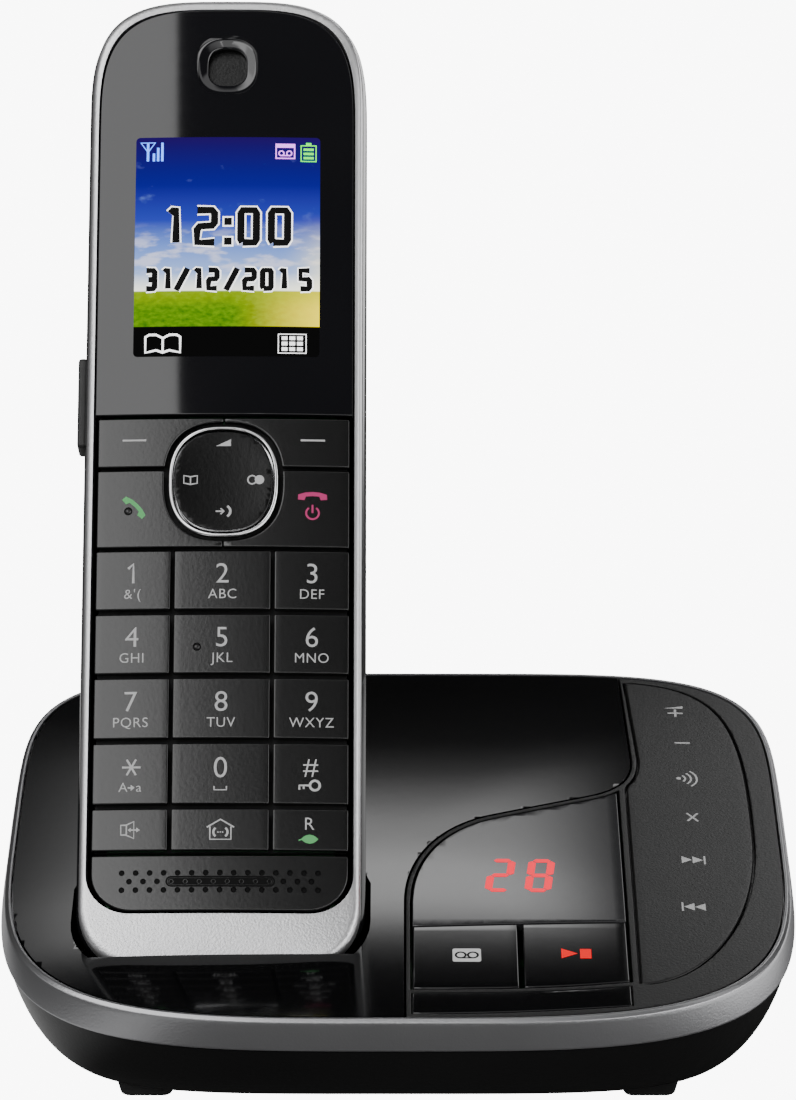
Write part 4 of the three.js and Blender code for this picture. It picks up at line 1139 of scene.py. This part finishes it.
lid_gloss = moulded(
    "lid_gloss_black", (0.0012, 0.0012, 0.0014), (0.002, 0.002, 0.0023), 0.07, 500, 0.006, 20, 0.02, 0.5)
cover = plate(lid_outline(-GAP), -LID_THICK, 0)
cup = cradle_space(1.8)
combine(cup, plate(lid_outline(-1.4), -60, -1.0), "INTERSECT")
combine(cover, cup, "UNION", keep=True)
combine(cover, back_rest(0, -1.2), "UNION")
hollow = back_rest(1.8, -6)
cut(hollow, cup)
cut(cover, hollow)
space = cradle_space(0)
dice(space, 3, 3)
raise_crown(space, -1)
cut(cover, space, right_of_rib(RIB_HALF + GAP))
for x in PINS_X:
    well = start(bpy.ops.mesh.primitive_cylinder_add, vertices=24, radius=PIN_WELL_RADIUS, depth=8)
    well.data.transform(HANDSET_TO_LID @ Matrix.Translation((x, -2, -6)) @ Matrix.Rotation(math.pi / 2, 4, "X"))
    cut(cover, well)
soften(cover, 0.35, 3, 50)
dice(cover, 1.6, 1.6)
raise_crown(cover)
deliver(cover, "top_cover", LID, "base", lid_gloss, ["base_top_cover"], 34)

# ---- The key deck with the counter window ----
# A matte black moulding beside the rib. It frames the smoked window of the message counter and the two keys,
# carries a glossy strip in front of them, and holds the side key sheet in a shallow bed.

WINDOW_X = (2.3, 37.0)
KEY_SPLIT_X = 19.7
KEY_SPLIT_HALF = 0.4
KEY_BACK_Y = (-29.2, -27.7)
KEY_FRONT_Y = (-46.3, -44.2)
SHEET_X = 38.7
DECK_BEVEL = 0.2


def share_across(x):
    return (x - WINDOW_X[0]) / (WINDOW_X[1] - WINDOW_X[0])


def key_back(x):
    return KEY_BACK_Y[0] + (KEY_BACK_Y[1] - KEY_BACK_Y[0]) * share_across(x)


def key_front(x):
    return KEY_FRONT_Y[0] + (KEY_FRONT_Y[1] - KEY_FRONT_Y[0]) * max(share_across(x), 0) ** 3


def steps_between(x0, x1, count):
    return [x0 + (x1 - x0) * i / count for i in range(count + 1)]


def window_outline(x, front, inset):
    shoulder = [p for p in beside(RIB, inset) if p[1] > -23 and x[0] - 0.2 <= p[0] < x[1] and p[1] < 20]
    shoulder[0] = (x[0], shoulder[0][1])
    top = shoulder[-1][1] + (x[1] - shoulder[-1][0]) * 0.42
    return shoulder + [(x[1], top)] + [(px, front(px)) for px in steps_between(x[1], x[0], 12)]


def grown(outline, by):
    """A closed outline moved outward by a distance."""
    return beside([outline[-1]] + outline + [outline[0]], by)[1:-1]


def sheet_outline(by):
    front = cubic((SHEET_X, -44.9), (50, -44.3), (59.1, -25), (59.1, 0), 24)
    back = cubic((59.1, 0), (59.5, 34), (57.5, 49.5), (39.8, 51.4), 26)
    corner = [p for p in beside(RIB, 0.8) if 14.6 < p[1] < 30 and p[0] > SHEET_X]
    outline = front + back[1:] + corner[::-1] + [(SHEET_X, 13.9)]
    return grown(outline, by)


def lid_skin(outline, thick, bevel, spacing=2.0):
    """A plate in the lid with softened edges, crowned like the rest."""
    piece = plate(outline, -thick, 0)
    soften(piece, bevel, 3, 50)
    dice(piece, spacing, spacing)
    raise_crown(piece, fade=None)
    return piece


deck_matte = moulded(
    "deck_matte_black", (0.006, 0.006, 0.006), (0.008, 0.008, 0.008), 0.34, 2400, 0.15, 40, 0.1)
deck = plate(lid_outline(-GAP), -LID_THICK, 0)
combine(deck, right_of_rib(RIB_HALF), "INTERSECT")
window_hole = window_outline(
    (WINDOW_X[0] - GAP, WINDOW_X[1] + GAP), lambda x: key_front(x) - GAP, RIB_HALF)
cut(deck, plate(window_hole, -20, 20), plate(sheet_outline(GAP), -1.1, 20))
strip_front = [(px, -53.0 + 2.2 * share_across(px) ** 2) for px in steps_between(WINDOW_X[0], WINDOW_X[1], 12)]
strip_back = [(px, key_front(px) - 1.3) for px in steps_between(WINDOW_X[1], WINDOW_X[0], 12)]
strip_outline = strip_front + strip_back
cut(deck, plate(grown(strip_outline, 0.25), -0.9, 5))
soften(deck, DECK_BEVEL, 3, 50)
dice(deck, 1.8, 1.8)
raise_crown(deck, fade=None)
deliver(deck, "key_deck_frame", LID, "base", deck_matte, ["key_deck"], 34)
strip = lid_skin(strip_outline, 0.7, 0.2)
deliver(strip, "front_strip", LID, "base", lid_gloss, (), 34)
window_smoke = moulded(
    "window_smoke", (0.012, 0.012, 0.013), (0.016, 0.016, 0.017), 0.08, 500, 0.006, 20, 0.03, 0.5)
window = lid_skin(window_outline(WINDOW_X, lambda x: key_back(x) + GAP, RIB_HALF + GAP), 1.6, 0.2)
deliver(window, "window_pane", LID, "base", window_smoke, ["counter_window"], 34)

# ---- The counter's digits ----
# Two seven-segment LED digits that shine red through the smoked window and show the number 28.
# They lean to the right, and their segments are six-sided bars with fine gaps between them.

DIGIT_SIZE = (4.05, 9.9)
DIGIT_SLANT = 0.105
SEGMENT_TIP = 0.45
SEGMENT_GAP = 0.14
SEGMENTS = {"a": ((0, 1), (1, 1)), "b": ((1, 1), (1, 0.5)), "c": ((1, 0.5), (1, 0)), "d": ((1, 0), (0, 0)),
            "e": ((0, 0), (0, 0.5)), "f": ((0, 0.5), (0, 1)), "g": ((0, 0.5), (1, 0.5))}
led_red = moulded("led_red", (0.3, 0.01, 0.02), (0.4, 0.02, 0.03), 0.5)
shine(led_red, 1.3, (1, 0, 0.03))
bars = []
for origin, lit in (((14.3, -18.4), "abged"), ((20.8, -18.4), "abcdefg")):
    for letter in lit:
        ends = []
        for sx, sy in SEGMENTS[letter]:
            y = sy * (DIGIT_SIZE[1] - 2 * SEGMENT_TIP)
            x = sx * (DIGIT_SIZE[0] - 2 * SEGMENT_TIP) + SEGMENT_TIP + DIGIT_SLANT * y
            ends.append(Vector((origin[0] + x, origin[1] + y)))
        run = (ends[1] - ends[0]).normalized()
        wide = Vector((-run.y, run.x)) * (0.5 if abs(run.x) > 0.5 else 0.62)
        first, last = ends[0] + run * SEGMENT_GAP, ends[1] - run * SEGMENT_GAP
        corner = run * SEGMENT_TIP
        points = (first, first + corner - wide, last - corner - wide, last, last - corner + wide,
                  first + corner + wide)
        bars.append(shape(*[tuple(point) for point in points]))
print_on(bars, "counter_digits", crown, 0.0, LID, "base", led_red)

# ---- The two keys of the answering machine ----
# Wide gloss black keys in front of the window. The left one carries a tape symbol in pale ink, the right one
# a play and a stop symbol in red ink, which glows a little as painted light. They tilt in on a spring arm under
# the deck.

ink_pale = moulded("legend_white", (0.5, 0.5, 0.5), (0.56, 0.56, 0.56), 0.5, 700, 0.05, 80, 0.1, 0, 0.2)
glowing_red_ink = moulded("legend_red_painted_glow", (0.6, 0.002, 0.004), (0.7, 0.004, 0.006), 0.5, 700, 0.05, 80, 0.1, 0, 0.2)
# The red ink glows faintly: painted light, with no lamp behind it.
shine(glowing_red_ink, 0.5, (1, 0, 0))
for name, x0, x1 in (("answer_key", WINDOW_X[0] + 0.1, KEY_SPLIT_X - KEY_SPLIT_HALF),
                     ("play_stop_key", KEY_SPLIT_X + KEY_SPLIT_HALF, WINDOW_X[1] - 0.1)):
    outline = [(px, key_front(px)) for px in steps_between(x0, x1, 8)]
    outline += [(x1, key_back(x1)), (x0, key_back(x0))]
    deliver(lid_skin(outline, 1.9, 0.25), f"{name}_cap", LID, name, lid_gloss, [name], 34)
tape_plate = shape(*soft_corners((8.75, 13.3), (-39.1, -35.5), 0.35))
print_on([tape_plate], "answer_key_plate", crown, 0.0, LID, "answer_key", ink_pale)
reels = [circle(x, -37.3, 0.8, 0.36) for x in (10.05, 12.0)] + [stroke([(10.05, -38.1), (12.0, -38.1)], 0.32)]
print_on(reels, "answer_key_reels", crown, 0.04, LID, "answer_key", black_ink_and_painted_shade)
play = [shape((26.2, -38.1), (28.8, -36.75), (26.2, -35.4)), bar(29.2, 31.0, -38.1, -35.5)]
print_on(play, "play_stop_marks", crown, 0.0, LID, "play_stop_key", glowing_red_ink)

# ---- The side key sheet ----
# One soft sheet of matte black over six switches, let into the deck. Its symbols are printed in pale grey:
# louder, softer, ringer, delete, forward and back.

sheet = lid_skin(sheet_outline(0), 0.75, 0.3)
deliver(sheet, "side_sheet", LID, "side_key_sheet", deck_matte, ["side_key_sheet"], 34)
side_marks = [shape((46.3, 42.0), (49.6, 42.0), (49.6, 42.8)), bar(46.9, 49.5, 40.1, 40.5)]
side_marks += [bar(48.0, 48.4, 39.0, 41.6), bar(47.6, 50.2, 29.65, 30.1)]
side_marks.append(shape(*arc(47.7, 17.9, 0.42)[:-1]))
side_marks += [stroke(arc(47.5, 17.9, radius, 48, -48, 8), 0.34) for radius in (1.3, 2.3, 3.3)]
side_marks += [stroke([(48.5, 4.1), (50.3, 6.6)], 0.36), stroke([(50.3, 4.1), (48.5, 6.6)], 0.36)]
side_marks += [shape((x, -9.3), (x + 1.7, -8.25), (x, -7.2)) for x in (46.9, 48.7)]
side_marks += [bar(50.55, 50.85, -9.5, -7.0), bar(46.2, 46.5, -23.9, -21.4)]
side_marks += [shape((x, -23.7), (x, -21.6), (x - 1.7, -22.65)) for x in (48.3, 50.1)]
print_on(side_marks, "side_sheet_marks", crown, 0.0, LID, "side_key_sheet", ink_grey)

# ---- The silver ring ----
# A satin silver band round the lid's edge, painted like the handset's frame. Its top edge is rounded and its
# side slopes out to the lower shell. It is clamped between the lid and the shell.

RING_SECTION = ((-5.2, 1.7), (-4.9, 1.72), (-1.1, 1.08), (-0.55, 0.97), (-0.38, 0.9), (-0.3, 0.84), (0.04, 0.5),
                (0.1, 0.4), (0.11, 0.25), (0.04, 0.08))
band = loft([flat(lid_outline(by), z) for z, by in RING_SECTION])
cut(band, loft([flat(lid_outline(by), z) for z, by in ((-8, -1.2), (-2.76, -1.19), (-2.74, 0.0), (3, 0.01))]))
ring_silver = painted_metal("ring_silver_paint", (0.4, 0.4, 0.41), 0.3, 0.92, 0.12)
deliver(band, "silver_band", LID, "base", ring_silver, ["base_trim_ring"], 40)

# ---- The lower shell ----
# A satin black bowl that widens from the feet to the ring. It carries the screws from below, the slots of the
# loudspeaker in its floor, and the openings of both sockets at the back.

FLOOR_HALF = (56.6, 47.7)
FLOOR_POWER = (4.6, 5.1)
FLOOR_Z = 3.5
SHELL_STEPS = 12
KNEE_OUT, KNEE_UP = 0.68, 0.27
TO_TABLE = Matrix.Translation(BASE_CENTRE) @ Matrix.Scale(MM, 4)
LID_TO_TABLE = TO_TABLE.inverted() @ LID
SCREW_PLACES = ((-46, 8), (46, 8))
POST_RADIUS, HEAD_HOLE_RADIUS, SCREW_HOLE_RADIUS = 5, 3.1, 1.7
LINE_SOCKET_X = 22
POWER_SOCKET_X = -18
LINE_HALF, POWER_HALF = 7.2, 5.6
SPEAKER_SLOTS_X = (24, 28, 32, 36, 40)


def bowl(inset):
    low = flat(superellipse(FLOOR_HALF[0] - inset, FLOOR_HALF[1] - inset, *FLOOR_POWER, 144), FLOOR_Z + inset)
    high = [LID_TO_TABLE @ Vector(p) for p in flat(lid_outline(1.35 - inset), -5.55)]
    rings = []
    for step in range(SHELL_STEPS + 1):
        t = step / SHELL_STEPS
        ring = []
        for a, b in zip(low, high):
            a = Vector(a)
            knee = a.lerp(b, KNEE_OUT)
            knee.z = a.z + (b.z - a.z) * KNEE_UP
            ring.append(tuple(a * (1 - t) ** 2 + knee * (2 * t * (1 - t)) + b * t * t))
        rings.append(ring)
    if inset:
        rings.append([(x, y, z + 3) for x, y, z in rings[-1]])
    return loft(rings)


def rod(radius, x, y, z, vertices=32):
    """An upright cylinder, for posts and holes."""
    post = start(bpy.ops.mesh.primitive_cylinder_add, vertices=vertices, radius=radius, depth=z[1] - z[0])
    post.data.transform(Matrix.Translation((x, y, (z[0] + z[1]) / 2)))
    return post


shell_satin = moulded(
    "lower_shell_black", (0.004, 0.004, 0.004), (0.006, 0.006, 0.006), 0.3, 2000, 0.15, 30, 0.08)
lower = bowl(0)
cut(lower, bowl(1.8))
for x, y in SCREW_PLACES:
    combine(lower, rod(POST_RADIUS, x, y, (FLOOR_Z + 0.5, 10)), "UNION")
    cut(lower, rod(HEAD_HOLE_RADIUS, x, y, (FLOOR_Z - 1, 6.6)), rod(SCREW_HOLE_RADIUS, x, y, (5, 12)))
for x in SPEAKER_SLOTS_X:
    cut(lower, block((x - 0.8, x + 0.8), (12, 28), (FLOOR_Z - 1, FLOOR_Z + 2.8)))
cut(
    lower,
    block((LINE_SOCKET_X - LINE_HALF, LINE_SOCKET_X + LINE_HALF), (40, 70), (7.6, 20.4)),
    block((POWER_SOCKET_X - POWER_HALF, POWER_SOCKET_X + POWER_HALF), (40, 70), (8.1, 19.4)),
)
deliver(lower, "lower_shell", TO_TABLE, "base", shell_satin, ["base_bottom_shell"], 36)

# ---- Feet ----
# Four blocks of black rubber, pressed into the floor of the lower shell. They taper slightly to the table
# and have rounded edges.

FOOT_SIZE = (8.4, 7.0)
FOOT_PLACE = (40.5, 38.8)
for end, y in (("front", -FOOT_PLACE[1]), ("rear", FOOT_PLACE[1])):
    for side, x in (("left", -FOOT_PLACE[0]), ("right", FOOT_PLACE[0])):
        rings = []
        for z, by in ((0, -0.9), (0.12, -0.5), (0.4, -0.2), (0.8, 0), (FLOOR_Z - 0.35, 0.5)):
            half = (FOOT_SIZE[0] / 2 + by, FOOT_SIZE[1] / 2 + by)
            rings.append(flat(soft_corners((x - half[0], x + half[0]), (y - half[1], y + half[1]), 1.0), z))
        foot = f"{end}_{side}"
        deliver(loft(rings), f"pad_{foot}", TO_TABLE, "base", rubber_black, [f"foot_{foot}"])

# ---- Sockets, contacts, and what lies inside ----
# The remaining pieces keep their plain shapes: the socket bodies at the back, the sprung charging pins with
# their plates in the chin, the screws, and the boards, cells, displays and loudspeakers inside.

module_black = moulded("socket_black", (0.012, 0.012, 0.013), (0.02, 0.02, 0.021), 0.4, 1500, 0.1, 60, 0.1)
board_green = moulded("board_green", (0.01, 0.06, 0.02), (0.02, 0.1, 0.035), 0.35, 700, 0.1, 300, 0.1)
sleeve_green = moulded("cell_sleeve_green", (0.03, 0.17, 0.05), (0.05, 0.24, 0.08), 0.3, 700, 0.05, 120, 0.1)
mat_rubber = moulded("key_mat_rubber", (0.006, 0.006, 0.006), (0.012, 0.012, 0.012), 0.7, 900, 0.1, 60, 0.1)
steel = painted_metal("zinc_steel", (0.42, 0.42, 0.43), 0.32, 1.0, 0.05)
gold = painted_metal("contact_gold", (0.75, 0.52, 0.2), 0.22, 1.0, 0.03)
INNER_FINISHES = (
    (module_black, ("line_socket", "power_socket", "headset_socket", "display_module", "counter_display")),
    (board_green, ("base_circuit_board", "handset_circuit_board")),
    (sleeve_green, ("battery_left", "battery_right")),
    (mat_rubber, ("key_mat",)),
    (steel, ("base_loudspeaker", "earpiece_speaker", "handset_loudspeaker", "microphone",
             "battery_contact_strip", "base_screw_left", "base_screw_right")),
    (gold, ("charge_pin_left", "charge_pin_right", "charge_plate_left", "charge_plate_right")),
)
for finish, nodes in INNER_FINISHES:
    for node in nodes:
        shown = bpy.data.objects[node]
        shown.data.materials.clear()
        shown.data.materials.append(finish)
